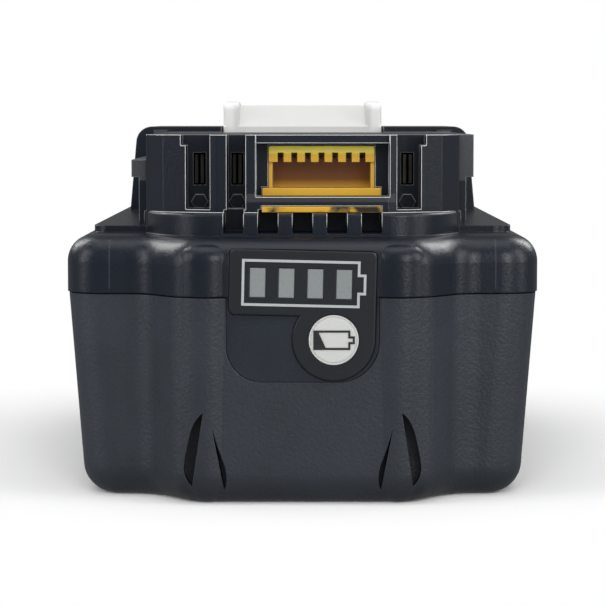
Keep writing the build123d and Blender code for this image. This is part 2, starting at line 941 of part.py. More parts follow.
def make_latch():
    """The latch in one moulding: hook with its ramp, two pillars, shelf and thumb face."""
    near = well_front_y + latch_clearance
    hook_far = near + latch_hook_length
    thumb_top = latch_far_y - latch_thumb_lean
    half = well_half_width - latch_clearance
    side = outlined([
        (near, latch_foot_height),
        (near, hump_top_height),
        (near + latch_ramp_length, latch_panel_height),
        (hook_far, latch_panel_height),
        (hook_far, latch_shelf_height),
        (thumb_top, latch_shelf_height),
        (latch_far_y, latch_foot_height),
    ])
    across = Plane(origin=(-half, 0, 0), x_dir=(0, 1, 0), z_dir=(1, 0, 0))
    body = extrude(across * side, amount=2 * half)
    hollow = block(
        (latch_wall - half, half - latch_wall),
        (near + latch_wall, thumb_top - latch_wall / 2),
        (latch_foot_height, latch_shelf_height - latch_wall),
    )
    body = body - hollow
    pillar = block((half - latch_pillar_width, half), (near, hook_far), (latch_shelf_height, latch_top_height))
    pillar = fillet(pillar.edges().filter_by(Axis.X).group_by(Axis.Z)[-1], latch_pillar_width / 2)
    pillar = fillet(pillar.edges().filter_by(Axis.Z).group_by(Axis.Y)[0], latch_pillar_edge_radius)
    body = body + pillar + mirror(pillar, about=Plane.YZ)
    y_lug = (spring_y - lug_length / 2, spring_y + lug_length / 2)
    lug = block((half - latch_wall / 2, half + lug_reach), y_lug, (latch_foot_height, latch_foot_height + lug_height))
    body = body + lug + mirror(lug, about=Plane.YZ)
    ceiling = latch_shelf_height - latch_wall
    for direction in (-1, 1):
        z_post = (latch_foot_height + latch_travel, ceiling + latch_wall / 2)
        body = body + post(spring_post_radius, direction * spring_offset, spring_y, z_post)
    return body


def make_spring(side):
    """A coil spring under the latch: one tube on a run of quarter turn arcs."""
    foot = deck_height + spring_seat_clearance + spring_wire_radius
    head = latch_shelf_height - latch_wall - spring_seat_clearance - spring_wire_radius
    pitch = (head - foot) / spring_turns
    quarters = 4 * spring_turns
    arcs = []
    for number in range(quarters):
        places = []
        for part in (0, 1 / 2, 1):
            angle = (number + part) * math.pi / 2
            places.append((
                side * spring_offset + spring_coil_radius * math.cos(angle),
                spring_y + spring_coil_radius * math.sin(angle),
                foot + pitch * (number + part) / 4,
            ))
        arcs.append(ThreePointArc(*places))
    path = Wire(arcs)
    rise = Vector(0, spring_coil_radius * 2 * math.pi, pitch)
    start = Plane(origin=path @ 0, z_dir=rise)
    return sweep(start * Circle(spring_wire_radius), path=path)


# Gauge pieces

def make_gauge_panel():
    """The soft panel, with holes for the light windows and the button."""
    panel = on_gauge(panel_face(0), (-panel_rise, panel_thickness - panel_rise))
    panel = fillet(panel.faces().sort_by(Axis.Y)[0].edges(), panel_edge_radius)
    for face in bars(bar_fit):
        panel = panel - on_gauge(face, (-cut_overrun, panel_thickness))
    x, z = button_axis()
    y_range = (near_end - cut_overrun, near_end + panel_thickness)
    return panel - end_bar(button_radius + button_clearance, x, z, y_range)


def make_gauge_outline():
    """The battery-shaped line on the panel."""
    face = battery_frame(frame_width, frame_height, frame_tip_width, frame_tip_height, frame_line)
    return on_gauge(Pos(bar_group_offset, 0) * face, (-panel_rise - print_thickness, -panel_rise))


def make_gauge_windows():
    """The light windows, each a bar that reaches back to its lamp."""
    back = gauge_board_setback - lamp_thickness - lamp_gap
    return [on_gauge(face, (bar_sink - panel_rise, back)) for face in bars(0)]


def make_check_button():
    """The round button with the flange that keeps it in and the stem that meets the switch."""
    x, z = button_axis()
    wall_lean = end_draft * (1 - (z - button_flange_radius) / joint_height)
    flange_near = near_end + case_wall + wall_lean + button_clearance
    flange_far = flange_near + button_flange_thickness
    stem_far = near_end + gauge_board_setback - switch_thickness - plunger_rise
    face = end_bar(button_radius, x, z, (near_end - button_rise, flange_near))
    face = fillet(face.faces().sort_by(Axis.Y)[0].edges(), button_edge_radius)
    y_ring = (near_end - button_rise, near_end - button_rise + ring_depth)
    face = face - (end_bar(ring_outer_radius, x, z, y_ring) - end_bar(ring_inner_radius, x, z, y_ring))
    flange = end_bar(button_flange_radius, x, z, (flange_near, flange_far))
    stem = end_bar(stem_radius, x, z, (flange_far, stem_far))
    return face + flange + stem


def make_check_icon():
    """The small battery symbol printed on the button, part filled on its left."""
    x, z = button_axis()
    frame = battery_frame(icon_width, icon_height, icon_tip_width, icon_tip_height, icon_line)
    left = -icon_width / 2
    top = icon_height / 2
    fill = outlined([
        (left, -top),
        (left + icon_fill_foot_share * icon_width, -top),
        (left + icon_fill_top_share * icon_width, top),
        (left, top),
    ])
    front = Plane(origin=(x - icon_shift, near_end - button_rise, z), x_dir=(1, 0, 0), z_dir=(0, -1, 0))
    return extrude(front * (frame + fill), amount=print_thickness)


def make_gauge_board():
    """The small upright board behind the gauge."""
    near = near_end + gauge_board_setback
    return block(
        (-gauge_board_width / 2, gauge_board_width / 2),
        (near, near + gauge_board_thickness),
        (gauge_board_foot_height, gauge_board_top_height),
    )


def make_gauge_lamps():
    """One lamp on the board behind each light window."""
    far = gauge_board_setback
    near = far - lamp_thickness
    size = Rectangle(lamp_width, lamp_height)
    return group([on_gauge(Pos(x, y) * size, (near, far)) for x, y in bar_places()])


def make_check_switch():
    """The body of the switch, with the bore that its plunger slides in."""
    x, z = button_axis()
    far = near_end + gauge_board_setback
    near = far - switch_thickness
    half = switch_width / 2
    body = block((x - half, x + half), (near, far), (z - half, z + half))
    bore_far = far - switch_thickness / 7
    return body - end_bar(plunger_radius + plunger_clearance, x, z, (near, bore_far))


def make_switch_plunger():
    """The plunger between the button's stem and the switch."""
    x, z = button_axis()
    near = near_end + gauge_board_setback - switch_thickness - plunger_rise
    return end_bar(plunger_radius, x, z, (near, near + plunger_rise + switch_thickness / 2))


def make_gauge_lead():
    """The flat lead from the gauge board over the first cells to the main board."""
    half = lead_width / 2
    near = near_end + gauge_board_setback + gauge_board_thickness
    run_height = inner_deck_height - lead_thickness
    far = board_near_y + lead_width
    rise = block((-half, half), (near, near + lead_thickness), (lead_foot_height, inner_deck_height))
    run = block((-half, half), (near, far), (run_height, inner_deck_height))
    end = block((-half, half), (far - lead_thickness, far), (run_height, board_height))
    return rise + run + end


# Cells and what joins them

def cell_places():
    """The axis of each cell: its Y and its height, layer by layer."""
    return [
        (cell_first_y + cell_pitch * number, cell_first_height + layer_pitch * layer)
        for layer in range(layer_count)
        for number in range(cells_per_layer)
    ]


def cross_bar(radius, y, z, x_range):
    """A round bar across the width of the pack."""
    length = x_range[1] - x_range[0]
    return Pos(x_range[0] + length / 2, y, z) * Rot(Y=90) * Cylinder(radius, length)


def make_cell(y, z, direction):
    """A cell with its stepped ends and its raised positive end."""
    half = cell_length / 2
    shoulder_x = half - button_end_rise
    body = cross_bar(cell_radius, y, z, (cap_step - shoulder_x, shoulder_x - cap_step))
    cap = cross_bar(cap_radius, y, z, (-shoulder_x, shoulder_x))
    ends = [(shoulder_x, half), (-half, -shoulder_x)]
    positive = cross_bar(button_end_radius, y, z, ends[0] if direction > 0 else ends[1])
    negative = cross_bar(cap_radius, y, z, ends[1] if direction > 0 else ends[0])
    return body + cap + positive + negative


def make_cell_holder(side):
    """The moulded frame that carries the cells at one end."""
    x_range = (holder_inner_x, holder_outer_x)
    if side < 0:
        x_range = mirrored(x_range)
    reach = cell_radius + cell_fit + holder_margin
    last_y = cell_first_y + cell_pitch * (cells_per_layer - 1)
    frame = block(x_range, (cell_first_y - reach, last_y + reach), (floor_thickness, holder_top_height))
    for y, z in cell_places():
        frame = frame - cross_bar(cell_radius + cell_fit, y, z, x_range)
    return frame


def make_link(first, last, lane):
    """A nickel strip over the ends of the cells from one column of the layers to another."""
    near_x = cell_length / 2
    x_range = (near_x, near_x + link_thickness)
    y_first = cell_first_y + cell_pitch * first
    y_last = cell_first_y + cell_pitch * last
    z_range = (cell_first_height - link_end_margin, cell_first_height + layer_pitch + link_end_margin)
    strip = block(x_range, (y_first - link_width / 2, y_last + link_width / 2), z_range)
    if first != last:
        middle = (y_first + y_last) / 2
        slot_half = link_thickness + link_tab_gap
        slot = block(x_range, (middle - slot_half, middle + slot_half), (z_range[0], cell_first_height))
        strip = strip - slot
    return strip + link_tab(x_range, (y_first + y_last) / 2, z_range[1], lane)


def link_tab(x_range, tab_y, z_strip_top, lane):
    """The tab of a strip: up its edge, in over the cells, along them and up to the main board."""
    half = link_tab_width / 2
    board_y = min(max(tab_y, board_near_y + link_tab_width), board_far_y - link_tab_width)
    top = inner_deck_height - link_tab_gap
    z_flat = (top - link_thickness, top)
    run_end = board_half_width - link_width * (1 + lane)
    rise = block(x_range, (tab_y - half, tab_y + half), (z_strip_top, top))
    run = block((run_end, x_range[1]), (tab_y - half, tab_y + half), z_flat)
    along = block(
        (run_end, run_end + link_tab_width),
        (min(board_y, tab_y) - half, max(board_y, tab_y) + half),
        z_flat,
    )
    end = block((run_end, run_end + link_thickness), (board_y - half, board_y + half), (top, board_height))
    return rise + run + along + end


def make_insulator(side):
    """The fibre sheet between the links and the case."""
    near_x = cell_length / 2 + link_thickness + insulator_gap
    x_range = (near_x, near_x + insulator_thickness)
    if side < 0:
        x_range = mirrored(x_range)
    reach = cell_radius - insulator_margin
    last_y = cell_first_y + cell_pitch * (cells_per_layer - 1)
    top = cell_first_height + layer_pitch + link_end_margin
    return block(x_range, (cell_first_y - reach, last_y + reach), (insulator_margin, top))


def make_thermistor():
    """The bead between two upper cells, with its two wires up to the main board."""
    y = cell_row_offset + cell_pitch / 2
    bead = cross_bar(bead_radius, y, bead_height, (-bead_length / 2, bead_length / 2))
    wires = [
        post(wire_radius, side * wire_spread, y, (bead_height, board_height))
        for side in (-1, 1)
    ]
    return fused([bead] + wires)


# Main board and what stands on it

def make_main_board():
    """The protection board under the head."""
    board = block(
        (-board_half_width, board_half_width),
        (board_near_y, board_far_y),
        (board_height, board_height + board_thickness),
    )
    for side in (-1, 1):
        for y in (board_post_near_y, board_far_y - board_post_far_inset):
            hole_x = side * (board_half_width - board_post_inset)
            hole = post(board_screw_radius + board_gap, hole_x, y, (board_height, board_height + board_thickness))
            board = board - hole
    return board


def make_board_screws():
    """The four screws that hang the main board from the head."""
    screws = []
    for side in (-1, 1):
        for y in (board_post_near_y, board_far_y - board_post_far_inset):
            x = side * (board_half_width - board_post_inset)
            head = post(board_screw_head_radius, x, y, (board_height - board_screw_head_height, board_height))
            shank_top = board_height + board_screw_length - board_gap
            screws.append(head + post(board_screw_radius, x, y, (board_height, shank_top)))
    return group(screws)


# Parts on the board: place across and along as shares of the board, then width, length and height
chip_shares = [
    (-0.05, 0.30, 0.17, 0.13, 0.75),
    (0.45, 0.42, 0.13, 0.11, 0.95),
    (-0.50, 0.44, 0.13, 0.11, 0.95),
    (0.20, 0.62, 0.10, 0.07, 0.70),
    (-0.28, 0.70, 0.06, 0.05, 0.60),
    (0.55, 0.78, 0.05, 0.10, 0.80),
    (-0.60, 0.80, 0.05, 0.10, 0.80),
    (0.00, 0.85, 0.22, 0.05, 1.90),
]


def make_board_components():
    """The chips and power parts soldered on the main board."""
    top = board_height + board_thickness
    length = board_far_y - board_near_y
    parts = []
    for x_share, y_share, width_share, length_share, height_share in chip_shares:
        x = x_share * board_half_width
        y = board_near_y + y_share * length
        half_x = width_share * board_half_width
        half_y = length_share * length / 2
        height = height_share * board_thickness
        parts.append(block((x - half_x, x + half_x), (y - half_y, y + half_y), (top, top + height)))
    return group(parts)


def make_contact(centre):
    """A forked spring contact: two blades that grip the tool's blade, on one foot."""
    top = board_height + board_thickness
    foot = block(
        (centre - blade_gap / 2 - blade_thickness, centre + blade_gap / 2 + blade_thickness),
        (board_near_y + board_gap, blade_far_y),
        (top, top + blade_foot_thickness),
    )
    side = outlined([
        (blade_near_y, blade_mouth_height),
        (board_near_y + board_gap, blade_mouth_height),
        (board_near_y + board_gap, top),
        (blade_far_y, top),
        (blade_far_y, blade_top_height),
        (blade_near_y, blade_top_height),
    ])
    blades = []
    for edge in (centre - blade_gap / 2 - blade_thickness, centre + blade_gap / 2):
        across = Plane(origin=(edge, 0, 0), x_dir=(0, 1, 0), z_dir=(1, 0, 0))
        blades.append(extrude(across * side, amount=blade_thickness))
    return fused([foot] + blades)


def comb_places():
    """The middle of each gap of the comb."""
    return [comb_first_x + comb_pitch * number for number in range(comb_gap_count)]


def make_terminal_block():
    """The yellow signal block: back plate, top bar with its comb, flange and front foot."""
    x_body = (block_left, block_right)
    x_wide = (block_left - block_flange_extra, block_right + block_flange_extra)
    flange_foot = window_sill_height + block_foot_gap
    flange_top = flange_foot + block_flange_height
    foot_low = band_top_height + block_foot_gap
    foot_high = foot_low + block_foot_thickness
    bar_foot = block_top_height - block_bar_height
    comb_foot = bar_foot - comb_height
    flange_near = block_near_y - block_flange_setback
    bar_far = block_back_y
    body = fused([
        block(x_body, (block_back_y, block_far_y), (flange_foot, block_top_height)),
        block(x_body, (block_near_y, bar_far), (bar_foot, block_top_height)),
        block(x_body, (block_near_y, block_near_y + comb_depth), (comb_foot, bar_foot)),
        block(x_wide, (flange_near, block_far_y), (flange_foot, flange_top)),
        block(x_wide, (block_back_y, block_far_y), (foot_low, flange_foot)),
        block(x_wide, (block_foot_near_y, block_far_y), (foot_low, foot_high)),
    ])
    y_cheek = (block_near_y + block_cheek_setback, block_far_y)
    for x_cheek in ((block_left, block_left + block_cheek_width), (block_right - block_cheek_width, block_right)):
        body = body + block(x_cheek, y_cheek, (flange_foot, block_top_height))
    for x in comb_places():
        gap = (x - comb_gap_width / 2, x + comb_gap_width / 2)
        body = body - block(gap, (block_near_y - comb_depth, block_near_y + comb_depth), (comb_foot, bar_foot))
        middle = (comb_foot + bar_foot) / 2
        half = pin_width / 2 + pin_clearance
        body = body - block((x - half, x + half), (block_back_y, block_far_y), (middle - half, middle + half))
    return body


def make_signal_pins():
    """The bent pins from the main board through the back of the signal block."""
    bar_foot = block_top_height - block_bar_height
    middle = bar_foot - comb_height / 2
    half = pin_width / 2
    pins = []
    for x in comb_places():
        x_range = (x - half, x + half)
        rise = block(x_range, (pin_far_y - pin_width, pin_far_y), (board_height + board_thickness, middle + half))
        run = block(x_range, (pin_near_y, pin_far_y), (middle - half, middle + half))
        pins.append(rise + run)
    return group(pins)


def make_case_screws():
    """The four long screws that hold the cases together."""
    head_top = screw_recess_depth
    shanks = bosses(screw_radius, (head_top, screw_tip_height))
    heads = bosses(screw_head_radius, (head_top - screw_head_height, head_top))
    return group([shank + head for shank, head in zip(shanks, heads)])


# Every piece under its own name

def make_pieces():
    """All the pieces of the pack by name."""
    outer, tub, top = lower_tub()
    pieces = {
        "lower_case": make_lower_case(outer, tub, top),
        "upper_case": make_upper_case(tub),
        "latch": make_latch(),
        "latch_spring_left": make_spring(-1),
        "latch_spring_right": make_spring(1),
        "gauge_panel": make_gauge_panel(),
        "gauge_outline": make_gauge_outline(),
        "check_button": make_check_button(),
        "check_icon": make_check_icon(),
        "gauge_board": make_gauge_board(),
        "gauge_lamps": make_gauge_lamps(),
        "check_switch": make_check_switch(),
        "switch_plunger": make_switch_plunger(),
        "gauge_lead": make_gauge_lead(),
        "cell_holder_left": make_cell_holder(-1),
        "cell_holder_right": make_cell_holder(1),
        "insulator_left": make_insulator(-1),
        "insulator_right": make_insulator(1),
        "thermistor": make_thermistor(),
        "main_board": make_main_board(),
        "board_screws": make_board_screws(),
        "board_components": make_board_components(),
        "positive_contact": make_contact(positive_slot_x),
        "sense_contact": make_contact(sense_slot_x),
        "negative_contact": make_contact(negative_slot_x),
        "terminal_block": make_terminal_block(),
        "signal_pins": make_signal_pins(),
        "case_screws": make_case_screws(),
    }
    for number, window in enumerate(make_gauge_windows(), start=1):
        pieces[f"gauge_window_{number}"] = window
    for number, (y, z) in enumerate(cell_places(), start=1):
        column_number = (number - 1) % cells_per_layer
        direction = 1 if column_number % 2 else -1
        pieces[f"cell_{number:02d}"] = make_cell(y, z, direction)
    last = cells_per_layer - 1
    left_spans = [(0, 0, 0), (1, 2, 0), (3, last, 0)]
    right_spans = [(0, 1, 0), (2, 3, 0), (last, last, 1)]
    for number, (first, end, lane) in enumerate(left_spans, start=1):
        pieces[f"cell_link_left_{number}"] = mirror(make_link(first, end, lane), about=Plane.YZ)
    for number, (first, end, lane) in enumerate(right_spans, start=1):
        pieces[f"cell_link_right_{number}"] = make_link(first, end, lane)
    return pieces


for piece_name, piece in make_pieces().items():
    export_step(piece, f"parts/{piece_name}.step")
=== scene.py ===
"""Slide-on battery pack: its finishes, its detail pieces, the floor, the light and the camera."""

from __future__ import annotations

import logging
import math
from collections.abc import Callable
from dataclasses import dataclass
from enum import Enum
from typing import Any

import bmesh
import bpy
from bpy.types import Material, Mesh, Node, NodeOutputs, NodeSocket, NodeTree, Object
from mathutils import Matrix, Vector

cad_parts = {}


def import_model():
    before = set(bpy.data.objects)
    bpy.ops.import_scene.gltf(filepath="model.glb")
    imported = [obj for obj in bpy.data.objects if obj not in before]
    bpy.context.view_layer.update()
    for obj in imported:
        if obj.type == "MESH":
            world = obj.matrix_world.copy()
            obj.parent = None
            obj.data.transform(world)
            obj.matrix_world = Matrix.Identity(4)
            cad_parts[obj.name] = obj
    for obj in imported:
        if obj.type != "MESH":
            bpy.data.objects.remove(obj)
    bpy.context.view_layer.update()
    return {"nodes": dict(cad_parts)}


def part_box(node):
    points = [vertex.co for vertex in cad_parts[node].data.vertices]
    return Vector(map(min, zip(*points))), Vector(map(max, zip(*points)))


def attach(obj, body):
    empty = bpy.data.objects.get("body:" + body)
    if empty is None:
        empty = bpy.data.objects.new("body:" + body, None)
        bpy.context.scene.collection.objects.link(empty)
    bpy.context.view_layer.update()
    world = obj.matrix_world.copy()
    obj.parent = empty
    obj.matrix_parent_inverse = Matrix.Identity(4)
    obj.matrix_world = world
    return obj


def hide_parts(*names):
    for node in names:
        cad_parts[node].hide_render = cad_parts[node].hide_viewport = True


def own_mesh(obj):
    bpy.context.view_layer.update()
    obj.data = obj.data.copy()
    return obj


# What feeds a node's input: an output socket, or a node for the first of its outputs.
Source = Node | NodeSocket

LOG = logging.getLogger("battery_pack")
MM = 0.001
BEVEL_SAMPLES = 8
# A noise pattern seldom leaves this band, so its tones are spread over it.
NOISE_LOW = 0.3
NOISE_HIGH = 0.7
# The colour sockets of a Mix node go by number, because its sockets for other values have the same names.
MIX_BELOW = 6
MIX_ABOVE = 7
MIX_RESULT = 2


class Ink(Enum):
    """Inks that are printed on the gauge."""

    SILVER = "#B4B9BA"
    CHARCOAL = "#26282B"


def linear(colour: str) -> tuple[float, float, float, float]:
    """Turn an sRGB hex colour to linear light.

    Args:
        colour: the colour as a hash and six hex digits.

    Returns:
        Red, green, blue and an alpha of 1.
    """
    shares = [int(colour[i : i + 2], 16) / 255 for i in (1, 3, 5)]
    lit = [c / 12.92 if c <= 0.04045 else ((c + 0.055) / 1.055) ** 2.4 for c in shares]
    return lit[0], lit[1], lit[2], 1.0


WHITE = linear("#FFFFFF")


def add_node(
    tree: NodeTree,
    kind: str,
    settings: dict[str, Any] | None = None,
    inputs: dict[str | int, Any] | None = None,
) -> Node:
    """Add a node to a tree, with its settings and links.

    Args:
        tree: the material's, world's or geometry tree.
        kind: the node's type name.
        settings: attributes of the node to set.
        inputs: for each input by name or number, a value or the source that feeds it.

    Returns:
        The new node.
    """
    node = tree.nodes.new(kind)
    for name, value in (settings or {}).items():
        setattr(node, name, value)
    for key, value in (inputs or {}).items():
        if isinstance(value, Node):
            value = value.outputs[0]
        if isinstance(value, NodeSocket):
            tree.links.new(value, node.inputs[key])
        else:
            node.inputs[key].default_value = value
    return node


def new_material(name: str) -> tuple[Material, NodeTree, NodeSocket]:
    """Start a material.

    Args:
        name: the material's name.

    Returns:
        The material, its node tree and the object coordinates in it.
    """
    material = bpy.data.materials.new(name)
    material.use_nodes = True
    tree = material.node_tree
    tree.nodes.clear()
    return material, tree, add_node(tree, "ShaderNodeTexCoord").outputs["Object"]


def toned(
    tree: NodeTree,
    colour: Source | tuple[float, ...],
    pattern: Source,
    band: tuple[float, float],
    tones: tuple[float, float],
) -> Node:
    """Darken and lighten a colour with a pattern.

    Args:
        tree: the material's tree.
        colour: the colour, or the source that gives it.
        pattern: the source of the pattern.
        band: the lowest and the highest value of the pattern that count.
        tones: what the colour is multiplied by at each of them.

    Returns:
        The node that gives the toned colour.
    """
    reach = {"From Min": band[0], "From Max": band[1], "To Min": tones[0], "To Max": tones[1]}
    tone = add_node(tree, "ShaderNodeMapRange", inputs={"Value": pattern, **reach})
    plain = colour[:3] if isinstance(colour, tuple) else colour
    return add_node(tree, "ShaderNodeVectorMath", {"operation": "SCALE"}, {0: plain, "Scale": tone})


def per_mm(size: float) -> float:
    """Give the texture scale at which one feature is this many millimetres wide."""
    return 1 / (size * MM)


@dataclass(frozen=True)
class PaintedEdgeHighlight:
    """A painted highlight: a pale line painted along sharp edges, where they would catch the light.

    The line shows from one height up, so that the rounded shoulders below stay plain, and it can weaken
    from one depth on. It starts and is full where a small bevel turns
    the surface so far that the cosine between the two falls to the values named here.
    """

    colour: str
    share: float
    radius_mm: float = 0.14
    from_height_mm: float = 0.0
    rise_mm: float = 0.5
    fades_from_mm: float = 60.0
    fade_mm: float = 2.0
    far_share: float = 1.0
    start_cosine: float = 0.995
    full_cosine: float = 0.96

    def mask(self, tree: NodeTree, place: Source) -> Source:
        """Find the sharp edges by how far a small bevel turns the surface.

        Args:
            tree: the material's tree.
            place: the object coordinates.

        Returns:
            The share of the painted highlight line, from none to its full share.
        """
        turned = add_node(
            tree, "ShaderNodeBevel", {"samples": BEVEL_SAMPLES}, {"Radius": self.radius_mm * MM}
        )
        face = add_node(tree, "ShaderNodeNewGeometry").outputs["Normal"]
        along = add_node(
            tree, "ShaderNodeVectorMath", {"operation": "DOT_PRODUCT"}, {0: turned, 1: face}
        ).outputs["Value"]
        rim = add_node(
            tree,
            "ShaderNodeMapRange",
            inputs={
                "Value": along,
                "From Min": self.start_cosine,
                "From Max": self.full_cosine,
                "To Max": self.share,
            },
        )
        parts = add_node(tree, "ShaderNodeSeparateXYZ", inputs={0: place})
        above = add_node(
            tree,
            "ShaderNodeMapRange",
            inputs={
                "Value": parts.outputs["Z"],
                "From Min": (self.from_height_mm - self.rise_mm) * MM,
                "From Max": (self.from_height_mm + self.rise_mm) * MM,
            },
        )
        near = add_node(
            tree,
            "ShaderNodeMapRange",
            inputs={
                "Value": parts.outputs["Y"],
                "From Min": self.fades_from_mm * MM,
                "From Max": (self.fades_from_mm + self.fade_mm) * MM,
                "To Min": 1.0,
                "To Max": self.far_share,
            },
        )
        kept = add_node(tree, "ShaderNodeMath", {"operation": "MULTIPLY"}, {0: above, 1: near})
        return add_node(tree, "ShaderNodeMath", {"operation": "MULTIPLY"}, {0: rim, 1: kept})


@dataclass(frozen=True)
class ColourZone:
    """A box in which the colour changes softly: painted shade in a pocket, painted light, or a real mark.

    The box is given in the part's own millimetres, and where it says so it counts for both sides of
    the middle plane. A zone with a patch size is broken up into blotches of about that size.
    """

    colour: str
    low_mm: tuple[float, float, float]
    high_mm: tuple[float, float, float]
    soft_mm: float = 0.5
    share: float = 1.0
    mirrored: bool = False
    patch_mm: float = 0.0
    patch_from: float = 0.4
    patch_full: float = 0.55

    def mask(self, tree: NodeTree, place: Source) -> Source:
        """Measure how far a point lies inside the box.

        Args:
            tree: the material's tree.
            place: the object coordinates.

        Returns:
            Nothing outside the box, and the zone's share once a point is its soft width inside.
        """
        if self.mirrored:
            parts = add_node(tree, "ShaderNodeSeparateXYZ", inputs={0: place})
            out = add_node(tree, "ShaderNodeMath", {"operation": "ABSOLUTE"}, {0: parts.outputs["X"]})
            place = add_node(
                tree, "ShaderNodeCombineXYZ", inputs={0: out, 1: parts.outputs["Y"], 2: parts.outputs["Z"]}
            )
        low = tuple(v * MM for v in self.low_mm)
        high = tuple(v * MM for v in self.high_mm)
        above = add_node(tree, "ShaderNodeVectorMath", {"operation": "SUBTRACT"}, {0: place, 1: low})
        below = add_node(tree, "ShaderNodeVectorMath", {"operation": "SUBTRACT"}, {0: high, 1: place})
        nearest = add_node(tree, "ShaderNodeVectorMath", {"operation": "MINIMUM"}, {0: above, 1: below})
        depth = add_node(tree, "ShaderNodeSeparateXYZ", inputs={0: nearest})
        inside = depth.outputs["X"]
        for axis in ("Y", "Z"):
            inside = add_node(
                tree, "ShaderNodeMath", {"operation": "MINIMUM"}, {0: inside, 1: depth.outputs[axis]}
            )
        share = add_node(
            tree,
            "ShaderNodeMapRange",
            inputs={"Value": inside, "From Max": self.soft_mm * MM, "To Max": self.share},
        )
        if not self.patch_mm:
            return share
        patch = add_node(
            tree,
            "ShaderNodeTexNoise",
            inputs={"Vector": place, "Scale": per_mm(self.patch_mm), "Detail": 3.0},
        )
        worn = add_node(
            tree,
            "ShaderNodeMapRange",
            inputs={"Value": patch, "From Min": self.patch_from, "From Max": self.patch_full},
        )
        return add_node(tree, "ShaderNodeMath", {"operation": "MULTIPLY"}, {0: share, 1: worn})


@dataclass(frozen=True)
class MouldedPlastic:
    """Injection moulded plastic with the grain that spark erosion leaves in the mould.

    The grain breaks up the highlights. A real one is finer than a tenth of a millimetre, too fine to
    show, so it is drawn as coarse as it needs to be seen. A slow mottle stops large walls looking flat,
    and a small bevel in the shading softens every edge. Zones have their own colour, some of it painted
    shade or painted light, and the sharp edges may have a painted highlight line.
    """

    name: str
    colour: str
    roughness: float
    grain_mm: float = 0.32
    grain_depth_mm: float = 0.006
    roughness_spread: float = 0.05
    mottle_mm: float = 14.0
    mottle_share: float = 0.12
    edge_radius_mm: float = 0.25
    painted_edge_highlight: PaintedEdgeHighlight | None = None
    zones: tuple[ColourZone, ...] = ()
    ior: float = 1.5
    coat: float = 0.0
    coat_roughness: float = 0.2
    subsurface: float = 0.0
    subsurface_mm: float = 0.6

    def body_colour(self, tree: NodeTree, place: Source) -> Source:
        """Lay down the mottled colour, with the colours of its zones.

        Args:
            tree: the material's tree.
            place: the object coordinates.

        Returns:
            The colour.
        """
        mottle = add_node(
            tree,
            "ShaderNodeTexNoise",
            inputs={"Vector": place, "Scale": per_mm(self.mottle_mm), "Detail": 4.0, "Roughness": 0.55},
        )
        colour: Source | tuple[float, ...] = linear(self.colour)
        for zone in self.zones:
            colour = add_node(
                tree,
                "ShaderNodeMix",
                {"data_type": "RGBA"},
                {"Factor": zone.mask(tree, place), MIX_BELOW: colour, MIX_ABOVE: linear(zone.colour)},
            ).outputs[MIX_RESULT]
        tones = (1 - self.mottle_share, 1 + self.mottle_share)
        return toned(tree, colour, mottle, (NOISE_LOW, NOISE_HIGH), tones)

    def build(self) -> Material:
        """Make the material.

        Returns:
            The material.
        """
        material, tree, place = new_material(self.name)
        colour = self.body_colour(tree, place)
        # Painted highlight: a pale line mixed into the colour along sharp edges.
        if self.painted_edge_highlight:
            line = self.painted_edge_highlight.mask(tree, place)
            colour = add_node(
                tree,
                "ShaderNodeMix",
                {"data_type": "RGBA"},
                {"Factor": line, MIX_BELOW: colour, MIX_ABOVE: linear(self.painted_edge_highlight.colour)},
            ).outputs[MIX_RESULT]
        grain = add_node(
            tree,
            "ShaderNodeTexNoise",
            inputs={"Vector": place, "Scale": per_mm(self.grain_mm), "Detail": 3.0, "Roughness": 0.6},
        )
        soft_edge = add_node(
            tree, "ShaderNodeBevel", {"samples": BEVEL_SAMPLES}, {"Radius": self.edge_radius_mm * MM}
        )
        bump = add_node(
            tree,
            "ShaderNodeBump",
            inputs={"Distance": self.grain_depth_mm * MM, "Height": grain, "Normal": soft_edge},
        )
        rough = add_node(
            tree,
            "ShaderNodeMapRange",
            inputs={
                "Value": grain,
                "From Min": NOISE_LOW,
                "From Max": NOISE_HIGH,
                "To Min": self.roughness - self.roughness_spread,
                "To Max": self.roughness + self.roughness_spread,
            },
        )
        shader = add_node(
            tree,
            "ShaderNodeBsdfPrincipled",
            inputs={
                "Base Color": colour,
                "Roughness": rough,
                "IOR": self.ior,
                "Normal": bump,
                "Coat Weight": self.coat,
                "Coat Roughness": self.coat_roughness,
                "Subsurface Weight": self.subsurface,
                "Subsurface Scale": self.subsurface_mm * MM,
            },
        )
        add_node(tree, "ShaderNodeOutputMaterial", inputs={"Surface": shader})
        return material


@dataclass(frozen=True)
class ThinSkin:
    """Printed ink, plastic film or pressed fibre: an even skin with faint specks and a slight tooth."""

    name: str
    colour: str
    roughness: float = 0.4
    speck_mm: float = 0.25
    speck_depth_mm: float = 0.004
    darkest: float = 0.9
    lightest: float = 1.06

    def build(self) -> Material:
        """Make the material.

        Returns:
            The material.
        """
        material, tree, place = new_material(self.name)
        speck = add_node(
            tree,
            "ShaderNodeTexNoise",
            inputs={"Vector": place, "Scale": per_mm(self.speck_mm), "Detail": 2.0},
        )
        body = toned(tree, linear(self.colour), speck, (NOISE_LOW, 1.0), (self.darkest, self.lightest))
        bump = add_node(
            tree, "ShaderNodeBump", inputs={"Distance": self.speck_depth_mm * MM, "Height": speck}
        )
        shader = add_node(
            tree,
            "ShaderNodeBsdfPrincipled",
            inputs={"Base Color": body, "Roughness": self.roughness, "Normal": bump},
        )
        add_node(tree, "ShaderNodeOutputMaterial", inputs={"Surface": shader})
        return material


